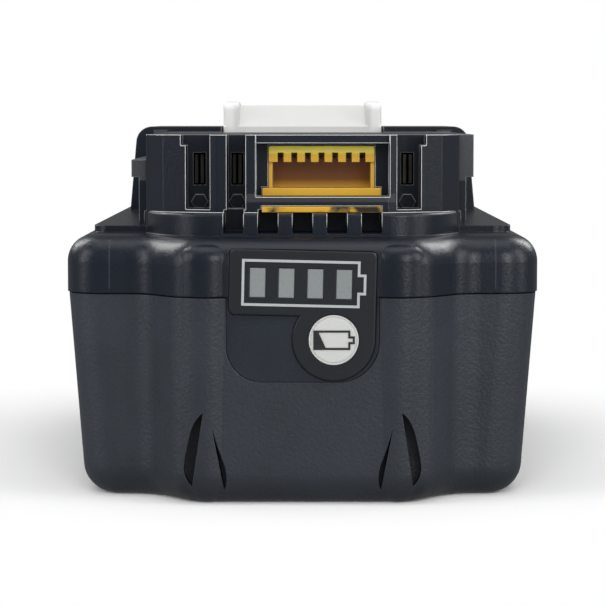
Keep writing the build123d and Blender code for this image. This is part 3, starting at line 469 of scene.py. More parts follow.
@dataclass(frozen=True)
class WorkedMetal:
    """Rolled or drawn metal: fine lines along its depth, and a faint tarnish in broad patches.

    The line scale is that along the depth. Wire and screws turn, so theirs is 1, which leaves plain specks.
    """

    name: str
    colour: str
    tarnish: str
    roughness: float = 0.28
    smoother: float = 0.08
    rougher: float = 0.1
    line_mm: float = 0.08
    line_depth_mm: float = 0.003
    line_scale: float = 0.05
    tarnish_mm: float = 3.5
    tarnish_from: float = 0.45
    tarnish_full: float = 0.7
    tarnish_share: float = 0.5

    def build(self) -> Material:
        """Make the material.

        Returns:
            The material.
        """
        material, tree, place = new_material(self.name)
        drawn = add_node(
            tree, "ShaderNodeMapping", inputs={"Vector": place, "Scale": (1.0, self.line_scale, 1.0)}
        )
        lines = add_node(
            tree, "ShaderNodeTexNoise", inputs={"Vector": drawn, "Scale": per_mm(self.line_mm), "Detail": 3.0}
        )
        patch = add_node(
            tree,
            "ShaderNodeTexNoise",
            inputs={"Vector": place, "Scale": per_mm(self.tarnish_mm), "Detail": 4.0},
        )
        share = add_node(
            tree,
            "ShaderNodeMapRange",
            inputs={
                "Value": patch,
                "From Min": self.tarnish_from,
                "From Max": self.tarnish_full,
                "To Max": self.tarnish_share,
            },
        )
        body = add_node(
            tree,
            "ShaderNodeMix",
            {"data_type": "RGBA"},
            {"Factor": share, MIX_BELOW: linear(self.colour), MIX_ABOVE: linear(self.tarnish)},
        ).outputs[MIX_RESULT]
        rough = add_node(
            tree,
            "ShaderNodeMapRange",
            inputs={
                "Value": lines,
                "To Min": self.roughness - self.smoother,
                "To Max": self.roughness + self.rougher,
            },
        )
        bump = add_node(tree, "ShaderNodeBump", inputs={"Distance": self.line_depth_mm * MM, "Height": lines})
        shader = add_node(
            tree,
            "ShaderNodeBsdfPrincipled",
            inputs={"Base Color": body, "Metallic": 1.0, "Roughness": rough, "Normal": bump},
        )
        add_node(tree, "ShaderNodeOutputMaterial", inputs={"Surface": shader})
        return material


@dataclass(frozen=True)
class WovenLaminate:
    """Glass cloth in resin, as in a circuit board: the weave shows faintly under a glossy solder mask.

    At a scale of 1 the wave pattern has about six threads to the unit, three over and three under.
    """

    name: str
    colour: str
    thread_mm: float = 0.5
    threads_per_unit: float = 6.0
    thread_depth_mm: float = 0.01
    tone_share: float = 0.15
    roughness: float = 0.35
    coat: float = 0.4

    def build(self) -> Material:
        """Make the material.

        Returns:
            The material.
        """
        material, tree, place = new_material(self.name)
        scale = per_mm(self.thread_mm) / self.threads_per_unit
        warp, weft = (
            add_node(
                tree, "ShaderNodeTexWave", {"bands_direction": axis}, {"Vector": place, "Scale": scale}
            ).outputs["Fac"]
            for axis in ("X", "Y")
        )
        weave = add_node(tree, "ShaderNodeMath", {"operation": "MULTIPLY"}, {0: warp, 1: weft})
        tones = (1 - self.tone_share, 1 + self.tone_share)
        body = toned(tree, linear(self.colour), weave, (0.0, 1.0), tones)
        bump = add_node(
            tree, "ShaderNodeBump", inputs={"Distance": self.thread_depth_mm * MM, "Height": weave}
        )
        shader = add_node(
            tree,
            "ShaderNodeBsdfPrincipled",
            inputs={
                "Base Color": body, "Roughness": self.roughness, "Normal": bump, "Coat Weight": self.coat
            },
        )
        add_node(tree, "ShaderNodeOutputMaterial", inputs={"Surface": shader})
        return material


class Finishes:
    """Every finish of the pack, each made once."""

    def __init__(self) -> None:
        """Make the materials."""
        # Glass filled nylon, spark eroded mould: satin blue black with a tooth that glitters, drawn
        # coarser than it is. The claw recesses at the columns' feet have painted shade, and the colour is
        # darker towards the base.
        self.lower = MouldedPlastic(
            "nylon_spark_eroded_satin",
            "#2C323A",
            0.43,
            grain_mm=0.55,
            grain_depth_mm=0.1,
            mottle_share=0.16,
            zones=(
                # Painted shade in the claw recesses.
                ColourZone("#141A22", (9.5, -54.6, 1.5), (19.0, -51.6, 16.0), soft_mm=0.4, mirrored=True),
                ColourZone("#22272F", (-60.0, -60.0, -6.0), (60.0, 60.0, 7.0), soft_mm=7.0),
            ),
        ).build()
        # The same nylon from a finer mould: darker and smoother, with a painted highlight line along the
        # sharp edges of the head. Its zones are the slide flanges, painted paler as a painted highlight for
        # the light they catch, a faint witness line down each shoulder, the paler tongue that reaches down
        # between the columns, and the ledge under the signal window.
        self.upper = MouldedPlastic(
            "nylon_fine_eroded_satin",
            "#0D1724",
            0.34,
            grain_mm=0.4,
            grain_depth_mm=0.04,
            # Painted highlight lines along the head's sharp edges.
            painted_edge_highlight=PaintedEdgeHighlight(
                "#FFFFFF", 1.0, radius_mm=0.18, from_height_mm=43.4, fades_from_mm=-41.5, far_share=0.25
            ),
            zones=(
                # Painted highlight: the slide flanges painted paler for the light they catch.
                ColourZone("#44464A", (25.3, -36.2, 49.8), (28.2, 24.0, 58.0), soft_mm=0.3, mirrored=True),
                ColourZone(
                    "#3C424A",
                    (30.25, -58.0, 33.2),
                    (30.5, -40.0, 41.0),
                    soft_mm=0.06,
                    share=0.55,
                    mirrored=True,
                ),
                ColourZone("#2C323A", (-14.0, -60.0, 10.0), (14.0, -40.0, 32.0), soft_mm=7.0),
                ColourZone("#36393E", (-9.5, -50.0, 46.7), (14.8, -42.0, 48.2), soft_mm=0.2),
            ),
        ).build()
        # Self coloured acetal latch: clean white with a soft sheen and a little depth. Between its two
        # pillars, where the middle sits back, and low on its front below the ramp, it is painted a little
        # greyer: painted shade. Its edges carry a painted highlight line.
        self.latch = MouldedPlastic(
            "acetal_moulded_white",
            "#FAFAF9",
            0.38,
            grain_mm=0.3,
            grain_depth_mm=0.003,
            mottle_share=0.02,
            painted_edge_highlight=PaintedEdgeHighlight("#FAFAF8", 0.5),
            zones=(
                # Painted shade between the pillars and low on the front.
                ColourZone("#E2E2E0", (-13.4, 20.0, 50.0), (13.4, 70.0, 63.0), soft_mm=0.8),
                ColourZone("#EDEDEB", (-16.0, 20.0, 50.0), (16.0, 47.0, 58.6), soft_mm=1.6),
            ),
            subsurface=0.1,
        ).build()
        # Soft elastomer panel: near black, with a fine tooth.
        self.panel = MouldedPlastic(
            "elastomer_moulded_satin", "#1A1F24", 0.4, grain_mm=0.2, grain_depth_mm=0.004
        ).build()
        # Reflective silver ink on the panel.
        self.silver = ThinSkin("ink_screen_printed_silver", Ink.SILVER.value).build()
        # Smoked light pipes: grey windows with a smooth skin.
        self.window = MouldedPlastic(
            "polycarbonate_moulded_smoke",
            "#868B8C",
            0.3,
            grain_depth_mm=0.002,
            mottle_share=0.03,
            # Its edges carry a painted highlight line.
            painted_edge_highlight=PaintedEdgeHighlight("#9AA0A0", 0.3),
        ).build()
        # White push button, lightly grained.
        self.button = MouldedPlastic(
            "abs_moulded_white",
            "#CBCCCA",
            0.42,
            grain_depth_mm=0.004,
            mottle_share=0.03,
            # Its edges carry a painted highlight line.
            painted_edge_highlight=PaintedEdgeHighlight("#E6E6E4", 0.4),
        ).build()
        # Charcoal pad print on the button.
        self.charcoal = ThinSkin("ink_pad_printed_charcoal", Ink.CHARCOAL.value).build()
        # Yellow connector plastic: dense colour, slight gloss on the ribs. Deep in the comb it is painted
        # brown, a painted shade, and the bar over it is painted brightest, a painted highlight; it is dark in
        # blotches at its foot. Its edges carry a painted highlight line.
        self.connector = MouldedPlastic(
            "polyester_moulded_yellow",
            "#E8B32C",
            0.4,
            grain_depth_mm=0.003,
            mottle_share=0.05,
            painted_edge_highlight=PaintedEdgeHighlight("#F6E08A", 0.5),
            zones=(
                # Painted shade deep in the comb.
                ColourZone("#8A5418", (-8.0, -40.6, 48.6), (14.0, -30.0, 60.0), soft_mm=1.6),
                # Painted highlight on the bar over the comb.
                ColourZone("#FFEA5C", (-8.0, -44.0, 54.2), (14.0, -40.0, 56.0), soft_mm=0.4),
                ColourZone("#2C2212", (-8.0, -47.0, 44.0), (14.0, -40.0, 46.6), soft_mm=0.1, patch_mm=3.2),
            ),
        ).build()
        # Tin plated copper blades, painted dull dark grey as a painted shade for how they look deep in their
        # slots, with darker tarnish patches.
        self.contact = WorkedMetal("copper_tin_plated", "#5A5954", "#2E2B27", roughness=0.5).build()
        # Stainless spring wire.
        self.spring = WorkedMetal("steel_spring_drawn", "#B9BBBE", "#7C7F84", line_scale=1.0).build()
        # Zinc plated screws with a faint yellow tint.
        self.screw = WorkedMetal("steel_zinc_plated", "#C3C2B6", "#8F8B78", line_scale=1.0).build()
        # Nickel strip, dull and slightly warm.
        self.nickel = WorkedMetal("nickel_strip_rolled", "#B8B3A6", "#8C877A", roughness=0.35).build()
        # Green solder mask over glass cloth.
        self.board = WovenLaminate("laminate_glass_cloth_green", "#1F5A36").build()
        # Flat lead: amber film.
        self.film = ThinSkin("polyimide_film_amber", "#B4701F", 0.3).build()
        # Grey vulcanised fibre.
        self.fibre = ThinSkin("fibre_sheet_grey", "#A8B0A0", 0.8).build()
        # Black cell holders.
        self.holder = MouldedPlastic("polycarbonate_moulded_black", "#1B1C1E", 0.5).build()
        # Shrink sleeve on each cell: thin, glossy and teal.
        self.sleeve = MouldedPlastic(
            "sleeve_shrink_film", "#2E7F86", 0.25, grain_depth_mm=0.001, coat=0.3
        ).build()
        # Epoxy bead of the sensor, and chip and switch mouldings.
        self.epoxy = MouldedPlastic("epoxy_dipped_black", "#1A1A1C", 0.25).build()
        self.chip = MouldedPlastic("epoxy_moulded_black", "#202022", 0.5).build()
        # Clear lamp resin, milky in the tray.
        self.lamp = MouldedPlastic("resin_cast_milky", "#DAD8C8", 0.2, subsurface=0.2).build()


@dataclass
class NodeDresser:
    """Gives each CAD node its finish."""

    nodes: dict[str, Object]
    finishes: Finishes

    def dress(self, node: str, material: Material) -> None:
        """Put a finish on a node through its object's slots.

        Args:
            node: the node's name.
            material: the finish.
        """
        obj = self.nodes[node]
        if not obj.material_slots:
            obj.data.materials.append(material)
        for place in obj.material_slots:
            place.link = "OBJECT"
            place.material = material
        LOG.info("%s has the finish %s", node, material.name)

    def dress_all(self) -> None:
        """Dress every node of the pack."""
        f = self.finishes
        plan = {
            f.lower: ["lower_case"],
            f.upper: ["upper_case"],
            f.latch: ["latch"],
            f.spring: ["latch_spring_left", "latch_spring_right"],
            f.panel: ["gauge_panel"],
            f.silver: ["gauge_outline"],
            f.window: [f"gauge_window_{i}" for i in range(1, 5)],
            f.button: ["check_button", "switch_plunger"],
            f.charcoal: ["check_icon"],
            f.board: ["gauge_board", "main_board"],
            f.lamp: ["gauge_lamps"],
            f.chip: ["check_switch", "board_components"],
            f.film: ["gauge_lead"],
            f.holder: ["cell_holder_left", "cell_holder_right"],
            f.fibre: ["insulator_left", "insulator_right"],
            f.epoxy: ["thermistor"],
            f.screw: ["board_screws", "case_screws"],
            f.contact: ["positive_contact", "sense_contact", "negative_contact", "signal_pins"],
            f.connector: ["terminal_block"],
            f.sleeve: [f"cell_{i:02d}" for i in range(1, 11)],
            f.nickel: [f"cell_link_{side}_{i}" for side in ("left", "right") for i in range(1, 4)],
        }
        for material, names in plan.items():
            for name in names:
                self.dress(name, material)


def new_geometry_tree(name: str, sizes: dict[str, str]) -> tuple[NodeTree, NodeOutputs, Node]:
    """Start a geometry tree with named inputs.

    Args:
        name: the tree's name.
        sizes: the kind of each input after the geometry, such as Float or Vector, by name.

    Returns:
        The tree, the sockets that give its inputs, and its output node.
    """
    tree = bpy.data.node_groups.new(name, "GeometryNodeTree")
    tree.interface.new_socket(name="Geometry", in_out="INPUT", socket_type="NodeSocketGeometry")
    for label, kind in sizes.items():
        tree.interface.new_socket(name=label, in_out="INPUT", socket_type=f"NodeSocket{kind}")
    tree.interface.new_socket(name="Geometry", in_out="OUTPUT", socket_type="NodeSocketGeometry")
    return tree, add_node(tree, "NodeGroupInput").outputs, add_node(tree, "NodeGroupOutput")


def close_geometry_tree(tree: NodeTree, given: NodeOutputs, end: Node, shape: Source, smooth: bool) -> None:
    """Turn instances to plain geometry, shade it, give it its material and hand it out.

    Args:
        tree: the geometry tree.
        given: the sockets that give its inputs, a material among them.
        end: its output node.
        shape: the geometry so far.
        smooth: whether the faces are shaded smooth.
    """
    shape = add_node(tree, "GeometryNodeRealizeInstances", inputs={"Geometry": shape})
    if smooth:
        shape = add_node(tree, "GeometryNodeSetShadeSmooth", inputs={"Geometry": shape})
    shape = add_node(
        tree, "GeometryNodeSetMaterial", inputs={"Geometry": shape, "Material": given["Material"]}
    )
    tree.links.new(shape.outputs["Geometry"], end.inputs["Geometry"])


def grown(name: str, mesh: Mesh, tree: NodeTree, values: dict[str, Any]) -> Object:
    """Run a geometry tree on a mesh and keep the result as a plain mesh.

    Args:
        name: the finished piece's name.
        mesh: the mesh that the tree starts from.
        tree: the geometry tree.
        values: what each named input is set to.

    Returns:
        The finished object, at the origin.
    """
    seed = bpy.data.objects.new(f"{name}_seed", mesh)
    bpy.context.scene.collection.objects.link(seed)
    modifier = seed.modifiers.new("grow", "NODES")
    modifier.node_group = tree
    keys = {item.name: item.identifier for item in tree.interface.items_tree if item.in_out == "INPUT"}
    for label, value in values.items():
        modifier[keys[label]] = value
    bpy.context.view_layer.update()
    graph = bpy.context.evaluated_depsgraph_get()
    plain = bpy.data.meshes.new_from_object(seed.evaluated_get(graph))
    plain.name = name
    bpy.data.objects.remove(seed)
    piece = bpy.data.objects.new(name, plain)
    bpy.context.scene.collection.objects.link(piece)
    LOG.info("%s has %d faces", name, len(plain.polygons))
    return piece


@dataclass
class LatchGrip:
    """Rounded ribs across the thumb face of the latch, which the thumb presses down.

    The face runs from its top edge to its foot, each given by its depth and height. Along a rib the
    width stays full and drops steeply at the ends, to a small rest.
    """

    rib_count: int = 6
    rib_length_mm: float = 23.0
    rib_radius_mm: float = 0.5
    sunk_share: float = 0.35
    face_top_mm: tuple[float, float] = (49.2, 55.8)
    face_foot_mm: tuple[float, float] = (54.8, 46.8)
    margin_share: float = 0.16
    end_steepness: float = 12.0
    end_rest: float = 0.02
    length_steps: int = 48
    round_steps: int = 20

    def rib_width(self, tree: NodeTree) -> Source:
        """Give the width along a rib, as a share of its full width.

        Args:
            tree: the geometry tree.

        Returns:
            The share, near 1 but for the ends.
        """
        along = add_node(tree, "GeometryNodeSplineParameter")
        apart = add_node(tree, "ShaderNodeMapRange", inputs={"Value": along, "To Min": -1.0, "To Max": 1.0})
        squared = add_node(tree, "ShaderNodeMath", {"operation": "MULTIPLY"}, {0: apart, 1: apart})
        steep = add_node(tree, "ShaderNodeMath", {"operation": "POWER"}, {0: squared, 1: self.end_steepness})
        full = add_node(tree, "ShaderNodeMath", {"operation": "SUBTRACT"}, {0: 1 + self.end_rest, 1: steep})
        return add_node(tree, "ShaderNodeMath", {"operation": "SQRT"}, {0: full})

    def tree(self) -> NodeTree:
        """Draw a row of ribs, each with its ends drawn in.

        Returns:
            The geometry tree.
        """
        tree, given, end = new_geometry_tree(
            "latch_ribs",
            {
                "Count": "Int",
                "First": "Vector",
                "Step": "Vector",
                "Half length": "Float",
                "Radius": "Float",
                "Material": "Material",
            },
        )
        row = add_node(
            tree,
            "GeometryNodeMeshLine",
            {"mode": "OFFSET", "count_mode": "TOTAL"},
            {"Count": given["Count"], "Start Location": given["First"], "Offset": given["Step"]},
        )
        half = given["Half length"]
        back = add_node(tree, "ShaderNodeMath", {"operation": "MULTIPLY"}, {0: half, 1: -1.0})
        left, right = (add_node(tree, "ShaderNodeCombineXYZ", inputs={0: reach}) for reach in (back, half))
        axis = add_node(tree, "GeometryNodeCurvePrimitiveLine", inputs={"Start": left, "End": right})
        fine = add_node(tree, "GeometryNodeResampleCurve", inputs={"Curve": axis, "Count": self.length_steps})
        width = self.rib_width(tree)
        ring = add_node(
            tree,
            "GeometryNodeCurvePrimitiveCircle",
            inputs={"Resolution": self.round_steps, "Radius": given["Radius"]},
        )
        rib = add_node(
            tree,
            "GeometryNodeCurveToMesh",
            inputs={"Curve": fine, "Profile Curve": ring, "Scale": width, "Fill Caps": True},
        )
        spread = add_node(tree, "GeometryNodeInstanceOnPoints", inputs={"Points": row, "Instance": rib})
        close_geometry_tree(tree, given, end, spread, smooth=True)
        return tree

    def build(self, material: Material) -> None:
        """Lay the ribs on the face and let them ride with the latch.

        Args:
            material: the latch's own finish.
        """
        top = Vector((0.0, *self.face_top_mm))
        fall = Vector((0.0, *self.face_foot_mm)) - top
        outward = Vector((0.0, -fall.z, fall.y)).normalized()
        first = top + fall * self.margin_share - outward * self.rib_radius_mm * self.sunk_share
        step = fall * (1 - 2 * self.margin_share) / (self.rib_count - 1)
        piece = grown(
            "latch_grip_ribs",
            bpy.data.meshes.new("latch_ribs_seed"),
            self.tree(),
            {
                "Count": self.rib_count,
                "First": first * MM,
                "Step": step * MM,
                "Half length": self.rib_length_mm / 2 * MM,
                "Radius": self.rib_radius_mm * MM,
                "Material": material,
            },
        )
        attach(piece, "latch")


@dataclass
class LatchSprings:
    """The two coil springs under the latch, which shorten as it is pressed down; here they keep one length.
    """

    wire_radius_mm: float = 0.35
    turns: float = 6.0
    latch_travel_mm: float = 4.6
    turn_steps: int = 40
    round_steps: int = 16

    def tree(self) -> NodeTree:
        """Draw one coil of round wire.

        Returns:
            The geometry tree.
        """
        tree, given, end = new_geometry_tree(
            "latch_spring_coil",
            {
                "Turns": "Float",
                "Coil radius": "Float",
                "Wire radius": "Float",
                "Height": "Float",
                "Foot": "Vector",
                "Material": "Material",
            },
        )
        coil = add_node(
            tree,
            "GeometryNodeCurveSpiral",
            inputs={
                "Resolution": self.turn_steps,
                "Rotations": given["Turns"],
                "Start Radius": given["Coil radius"],
                "End Radius": given["Coil radius"],
                "Height": given["Height"],
            },
        )
        ring = add_node(
            tree,
            "GeometryNodeCurvePrimitiveCircle",
            inputs={"Resolution": self.round_steps, "Radius": given["Wire radius"]},
        )
        wire = add_node(
            tree, "GeometryNodeCurveToMesh", inputs={"Curve": coil, "Profile Curve": ring, "Fill Caps": True}
        )
        placed = add_node(
            tree, "GeometryNodeTransform", inputs={"Geometry": wire, "Translation": given["Foot"]}
        )
        close_geometry_tree(tree, given, end, placed, smooth=True)
        return tree

    def build(self, material: Material) -> None:
        """Wind a spring in the place of each plain one, standing on its foot.

        Args:
            material: the wire's finish.
        """
        tree = self.tree()
        for side in ("left", "right"):
            low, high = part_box(f"latch_spring_{side}")
            wire = self.wire_radius_mm * MM
            middle = (low + high) / 2
            length = high.z - low.z
            piece = grown(
                f"latch_coil_{side}",
                bpy.data.meshes.new("latch_coil_seed"),
                tree,
                {
                    "Turns": self.turns,
                    "Coil radius": (high.y - low.y) / 2 - wire,
                    "Wire radius": wire,
                    "Height": length - 2 * wire,
                    "Foot": Vector((middle.x, middle.y, low.z + wire)),
                    "Material": material,
                },
            )
            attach(piece, "housing")
            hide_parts(f"latch_spring_{side}")
            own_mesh(piece)


@dataclass
class CaseScrews:
    """The four case screws: pan heads with six-lobed sockets, and rolled threads.

    The socket narrows from its rim to its wall and again to its flat floor, and the head's edge is
    rounded over in two steps. Shares are of the socket's radius, the head's edge and the shank's radius.
    """

    head_radius_mm: float = 1.8
    head_edge_mm: float = 0.35
    head_corner_mm: float = 0.1
    head_corner_share: float = 1 / 3
    head_face_mm: float = 2.7
    head_seat_mm: float = 4.0
    socket_radius_mm: float = 1.0
    socket_depth_mm: float = 0.75
    socket_rim_mm: float = 0.08
    socket_rim_share: float = 1.08
    socket_corner_mm: float = 0.1
    socket_corner_share: float = 0.9
    socket_floor_share: float = 0.35
    lobes: int = 6
    lobe_share: float = 0.17
    shank_radius_mm: float = 1.0
    thread_depth_mm: float = 0.16
    thread_pitch_mm: float = 0.9
    rings_per_turn: int = 5
    tip_mm: float = 38.6
    tip_share: float = 0.3
    point_length_mm: float = 1.6
    places_mm: tuple[tuple[float, float], ...] = ((-15.4, -49.2), (15.4, -49.2), (-26.0, 52.6), (26.0, 52.6))
    segments: int = 36
    turn_seed: int = 3

    def ring(
        self, mesh: bmesh.types.BMesh, height: float, radius: float | Callable[[float], float]
    ) -> list[bmesh.types.BMVert]:
        """Add one ring of points.

        Args:
            mesh: the screw so far.
            height: the ring's height in millimetres.
            radius: its radius in millimetres, or a function of the angle that gives it.

        Returns:
            The ring's points.
        """
        points = []
        for number in range(self.segments):
            angle = 2 * math.pi * number / self.segments
            reach = radius(angle) if callable(radius) else radius
            place = Vector((reach * math.cos(angle), reach * math.sin(angle), height)) * MM
            points.append(mesh.verts.new(place))
        return points

    def socket(self, share: float) -> Callable[[float], float]:
        """Give the radius of a ring of the socket, of a share of its size, as a function of the angle."""
        reach = self.socket_radius_mm * share
        return lambda angle: reach * (1 - self.lobe_share * (1 - math.cos(self.lobes * angle)))

    def thread(self, height: float) -> Callable[[float], float]:
        """Give the thread's radius at a height as a function of the angle.

        Args:
            height: the ring's height in millimetres.

        Returns:
            The function, in radians and millimetres.
        """
        turns = height / self.thread_pitch_mm
        return lambda angle: self.shank_radius_mm - self.thread_depth_mm * abs(
            2 * ((turns - angle / (2 * math.pi)) % 1) - 1
        )

    def mesh(self) -> Mesh:
        """Model one screw, head down, on the axis.

        Returns:
            The screw's mesh.
        """
        shape = bmesh.new()
        face = self.head_face_mm
        floor = face + self.socket_depth_mm
        profile = [
            (floor, self.socket(self.socket_floor_share)),
            (floor - self.socket_corner_mm, self.socket(self.socket_corner_share)),
            (face + self.socket_rim_mm, self.socket(1.0)),
            (face, self.socket(self.socket_rim_share)),
            (face, self.head_radius_mm - self.head_edge_mm),
            (face + self.head_corner_mm, self.head_radius_mm - self.head_edge_mm * self.head_corner_share),
            (face + self.head_edge_mm, self.head_radius_mm),
            (self.head_seat_mm, self.head_radius_mm),
            (self.head_seat_mm, self.shank_radius_mm),
        ]
        height = self.head_seat_mm + self.thread_pitch_mm
        while height < self.tip_mm - self.point_length_mm:
            profile.append((height, self.thread(height)))
            height += self.thread_pitch_mm / self.rings_per_turn
        profile.append((self.tip_mm, self.shank_radius_mm * self.tip_share))
        rings = [self.ring(shape, height, radius) for height, radius in profile]
        for lower, upper in zip(rings, rings[1:]):
            for number in range(self.segments):
                after = (number + 1) % self.segments
                shape.faces.new((lower[number], lower[after], upper[after], upper[number]))
        shape.faces.new(rings[0])
        shape.faces.new(rings[-1])
        bmesh.ops.recalc_face_normals(shape, faces=shape.faces)
        mesh = bpy.data.meshes.new("case_screw")
        shape.to_mesh(mesh)
        shape.free()
        return mesh

    def tree(self) -> NodeTree:
        """Set a screw on each point, each turned by its own amount.

        Returns:
            The geometry tree.
        """
        tree, given, end = new_geometry_tree(
            "screw_places", {"Screw": "Object", "Seed": "Int", "Material": "Material"}
        )
        screw = add_node(
            tree, "GeometryNodeObjectInfo", inputs={"Object": given["Screw"]}
        ).outputs["Geometry"]
        turn = add_node(
            tree,
            "FunctionNodeRandomValue",
            {"data_type": "FLOAT_VECTOR"},
            {"Min": (0.0, 0.0, 0.0), "Max": (0.0, 0.0, math.pi), "Seed": given["Seed"]},
        )
        spread = add_node(
            tree,
            "GeometryNodeInstanceOnPoints",
            inputs={"Points": given["Geometry"], "Instance": screw, "Rotation": turn},
        )
        close_geometry_tree(tree, given, end, spread, smooth=False)
        return tree

    def build(self, material: Material) -> None:
        """Make the four screws and put them in place of the plain ones.

        Args:
            material: the screws' finish.
        """
        points = bpy.data.meshes.new("screw_places")
        points.from_pydata([(x * MM, y * MM, 0.0) for x, y in self.places_mm], [], [])
        model = bpy.data.objects.new("case_screw_model", self.mesh())
        piece = grown(
            "case_screws_threaded",
            points,
            self.tree(),
            {"Screw": model, "Seed": self.turn_seed, "Material": material},
        )
        bpy.data.objects.remove(model)
        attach(piece, "housing")
        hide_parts("case_screws")


@dataclass(frozen=True)
class SoftBox:
    """One rectangular lamp: its fill lights matt surfaces, and its sheen shows in glossy ones."""

    name: str
    place_mm: tuple[float, float, float]
    size_mm: tuple[float, float]
    watts: float
    aim_mm: tuple[float, float, float] = (0, 0, 30)
    sheen: bool = True
    fill: bool = True

    def hang(self) -> None:
        """Put the lamp in the scene, facing the point that it aims at."""
        data = bpy.data.lights.new(self.name, "AREA")
        data.shape = "RECTANGLE"
        data.size, data.size_y = (s * MM for s in self.size_mm)
        data.energy = self.watts
        obj = bpy.data.objects.new(self.name, data)
        obj.location = Vector(self.place_mm) * MM
        facing = (Vector(self.aim_mm) - Vector(self.place_mm)).to_track_quat("-Z", "Y")
        obj.rotation_euler = facing.to_euler()
        obj.visible_glossy = self.sheen
        obj.visible_diffuse = self.fill
        bpy.context.scene.collection.objects.link(obj)


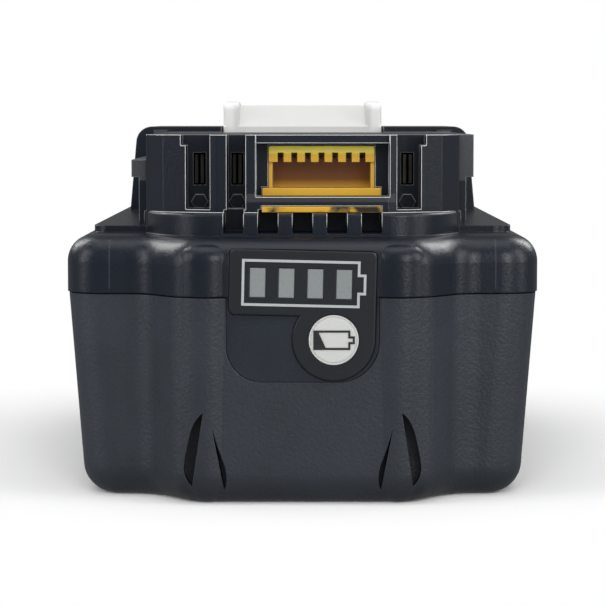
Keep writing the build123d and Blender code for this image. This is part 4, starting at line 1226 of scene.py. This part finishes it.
@dataclass
class Studio:
    """Floor, lamps, surroundings and camera.

    The strengths are of what the camera sees, of what glossy surfaces mirror and of the soft light on
    everything else. The lamps hang overhead, at each side, behind the camera, behind the pack at each
    shoulder, and to the right of the front for the sheen of the right column.
    """

    camera_setback_mm: float = 397.0
    camera_height_mm: float = 59.9
    pitch_deg: float = 4.72
    lens_mm: float = 132.3
    sensor_mm: float = 36.0
    nearest_m: float = 0.01
    farthest_m: float = 20.0
    seen_strength: float = 1.0
    mirrored_strength: float = 0.2
    soft_strength: float = 0.4
    floor_mirrored_strength: float = 0.22
    floor_colour: str = "#FAFAFA"
    floor_roughness: float = 0.5
    floor_radius_mm: float = 900.0
    floor_corners: int = 96
    floor_drop_mm: float = 0.05
    touching_drops: float = 6.0
    shadow_start_mm: float = 44.0
    shadow_radius_mm: float = 125.0
    boxes: tuple[SoftBox, ...] = (
        SoftBox("box_overhead", (0, -120, 900), (900, 700), 2.2),
        SoftBox("box_left", (-800, -350, 350), (300, 700), 2.0),
        SoftBox("box_right", (800, -350, 350), (300, 700), 2.2),
        SoftBox("box_front", (0, -1250, 620), (900, 500), 6.6, sheen=False),
        SoftBox("sheen_front", (0, -1250, 620), (900, 500), 1.8, fill=False),
        SoftBox("strip_left", (-520, 420, 520), (260, 460), 2.7, aim_mm=(-20, 0, 45), fill=False),
        SoftBox("strip_right", (520, 420, 520), (260, 460), 3.1, aim_mm=(20, 0, 45), fill=False),
        SoftBox("strip_column", (450, -900, 330), (110, 600), 2.6, aim_mm=(20, -50, 25), fill=False),
    )

    def camera(self) -> None:
        """Place the camera at the photograph's angle."""
        data = bpy.data.cameras.new("camera")
        data.lens = self.lens_mm
        data.sensor_width = self.sensor_mm
        data.clip_start = self.nearest_m
        data.clip_end = self.farthest_m
        camera = bpy.data.objects.new("camera", data)
        camera.location = (0.0, -self.camera_setback_mm * MM, self.camera_height_mm * MM)
        camera.rotation_euler = (math.radians(90 - self.pitch_deg), 0.0, 0.0)
        bpy.context.scene.collection.objects.link(camera)
        bpy.context.scene.camera = camera

    def surroundings(self) -> None:
        """Show white to the camera, mirror it dimly in glossy surfaces, and light softly otherwise."""
        world = bpy.data.worlds.new("surroundings")
        world.use_nodes = True
        tree = world.node_tree
        tree.nodes.clear()
        path = add_node(tree, "ShaderNodeLightPath")
        seen = add_node(
            tree,
            "ShaderNodeMath",
            {"operation": "MAXIMUM"},
            {0: path.outputs["Is Camera Ray"], 1: path.outputs["Is Transmission Ray"]},
        )
        soft, mirrored, white = (
            add_node(tree, "ShaderNodeBackground", inputs={"Color": WHITE, "Strength": strength})
            for strength in (self.soft_strength, self.mirrored_strength, self.seen_strength)
        )
        shown = soft
        for share, over in ((path.outputs["Is Glossy Ray"], mirrored), (seen, white)):
            shown = add_node(tree, "ShaderNodeMixShader", inputs={0: share, 1: shown, 2: over})
        add_node(tree, "ShaderNodeOutputWorld", inputs={"Surface": shown})
        bpy.context.scene.world = world

    def floor(self) -> None:
        """Lay a white floor that keeps the shadow, turns to plain white further out and mirrors only dimly.

        It lies a hair below the pack. It lets light through to what rests on it and isn't seen from
        below, so that the base can be looked at.
        """
        bpy.ops.mesh.primitive_circle_add(
            vertices=self.floor_corners, radius=self.floor_radius_mm * MM, fill_type="NGON"
        )
        obj = bpy.context.object
        obj.name = "studio_floor"
        material, tree, place = new_material("paper_seamless_white")
        away = add_node(tree, "ShaderNodeVectorMath", {"operation": "LENGTH"}, {0: place}).outputs["Value"]
        past_shadow = add_node(
            tree,
            "ShaderNodeMapRange",
            {"interpolation_type": "SMOOTHSTEP"},
            {"Value": away, "From Min": self.shadow_start_mm * MM, "From Max": self.shadow_radius_mm * MM},
        )
        path = add_node(tree, "ShaderNodeLightPath")
        seen = path.outputs["Is Camera Ray"]
        plain = add_node(tree, "ShaderNodeMath", {"operation": "MULTIPLY"}, {0: past_shadow, 1: seen})
        touching = add_node(
            tree,
            "ShaderNodeMath",
            {"operation": "LESS_THAN"},
            {0: path.outputs["Ray Length"], 1: self.touching_drops * self.floor_drop_mm * MM},
        )
        below = add_node(tree, "ShaderNodeNewGeometry").outputs["Backfacing"]
        see_through = add_node(tree, "ShaderNodeMath", {"operation": "MAXIMUM"}, {0: below, 1: touching})
        paper = add_node(
            tree,
            "ShaderNodeBsdfDiffuse",
            inputs={"Color": linear(self.floor_colour), "Roughness": self.floor_roughness},
        )
        dim, glow = (
            add_node(tree, "ShaderNodeEmission", inputs={"Color": WHITE, "Strength": strength})
            for strength in (self.floor_mirrored_strength, self.seen_strength)
        )
        clear = add_node(tree, "ShaderNodeBsdfTransparent")
        shown = paper
        for share, over in ((path.outputs["Is Glossy Ray"], dim), (plain, glow), (see_through, clear)):
            shown = add_node(tree, "ShaderNodeMixShader", inputs={0: share, 1: shown, 2: over})
        add_node(tree, "ShaderNodeOutputMaterial", inputs={"Surface": shown})
        obj.data.materials.append(material)
        obj.location.z = -self.floor_drop_mm * MM

    def build(self) -> None:
        """Set up the whole studio."""
        self.camera()
        self.surroundings()
        self.floor()
        for box in self.boxes:
            box.hang()
        bpy.context.scene.view_settings.view_transform = "Standard"
        LOG.info("the studio is set up")


def main() -> None:
    """Build the scene in order."""
    logging.basicConfig(level=logging.INFO, format="%(message)s")
    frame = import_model()
    Studio().build()
    finishes = Finishes()
    NodeDresser(frame["nodes"], finishes).dress_all()
    LatchGrip().build(finishes.latch)
    LatchSprings().build(finishes.spring)
    CaseScrews().build(finishes.screw)


if __name__ == "__main__":
    main()
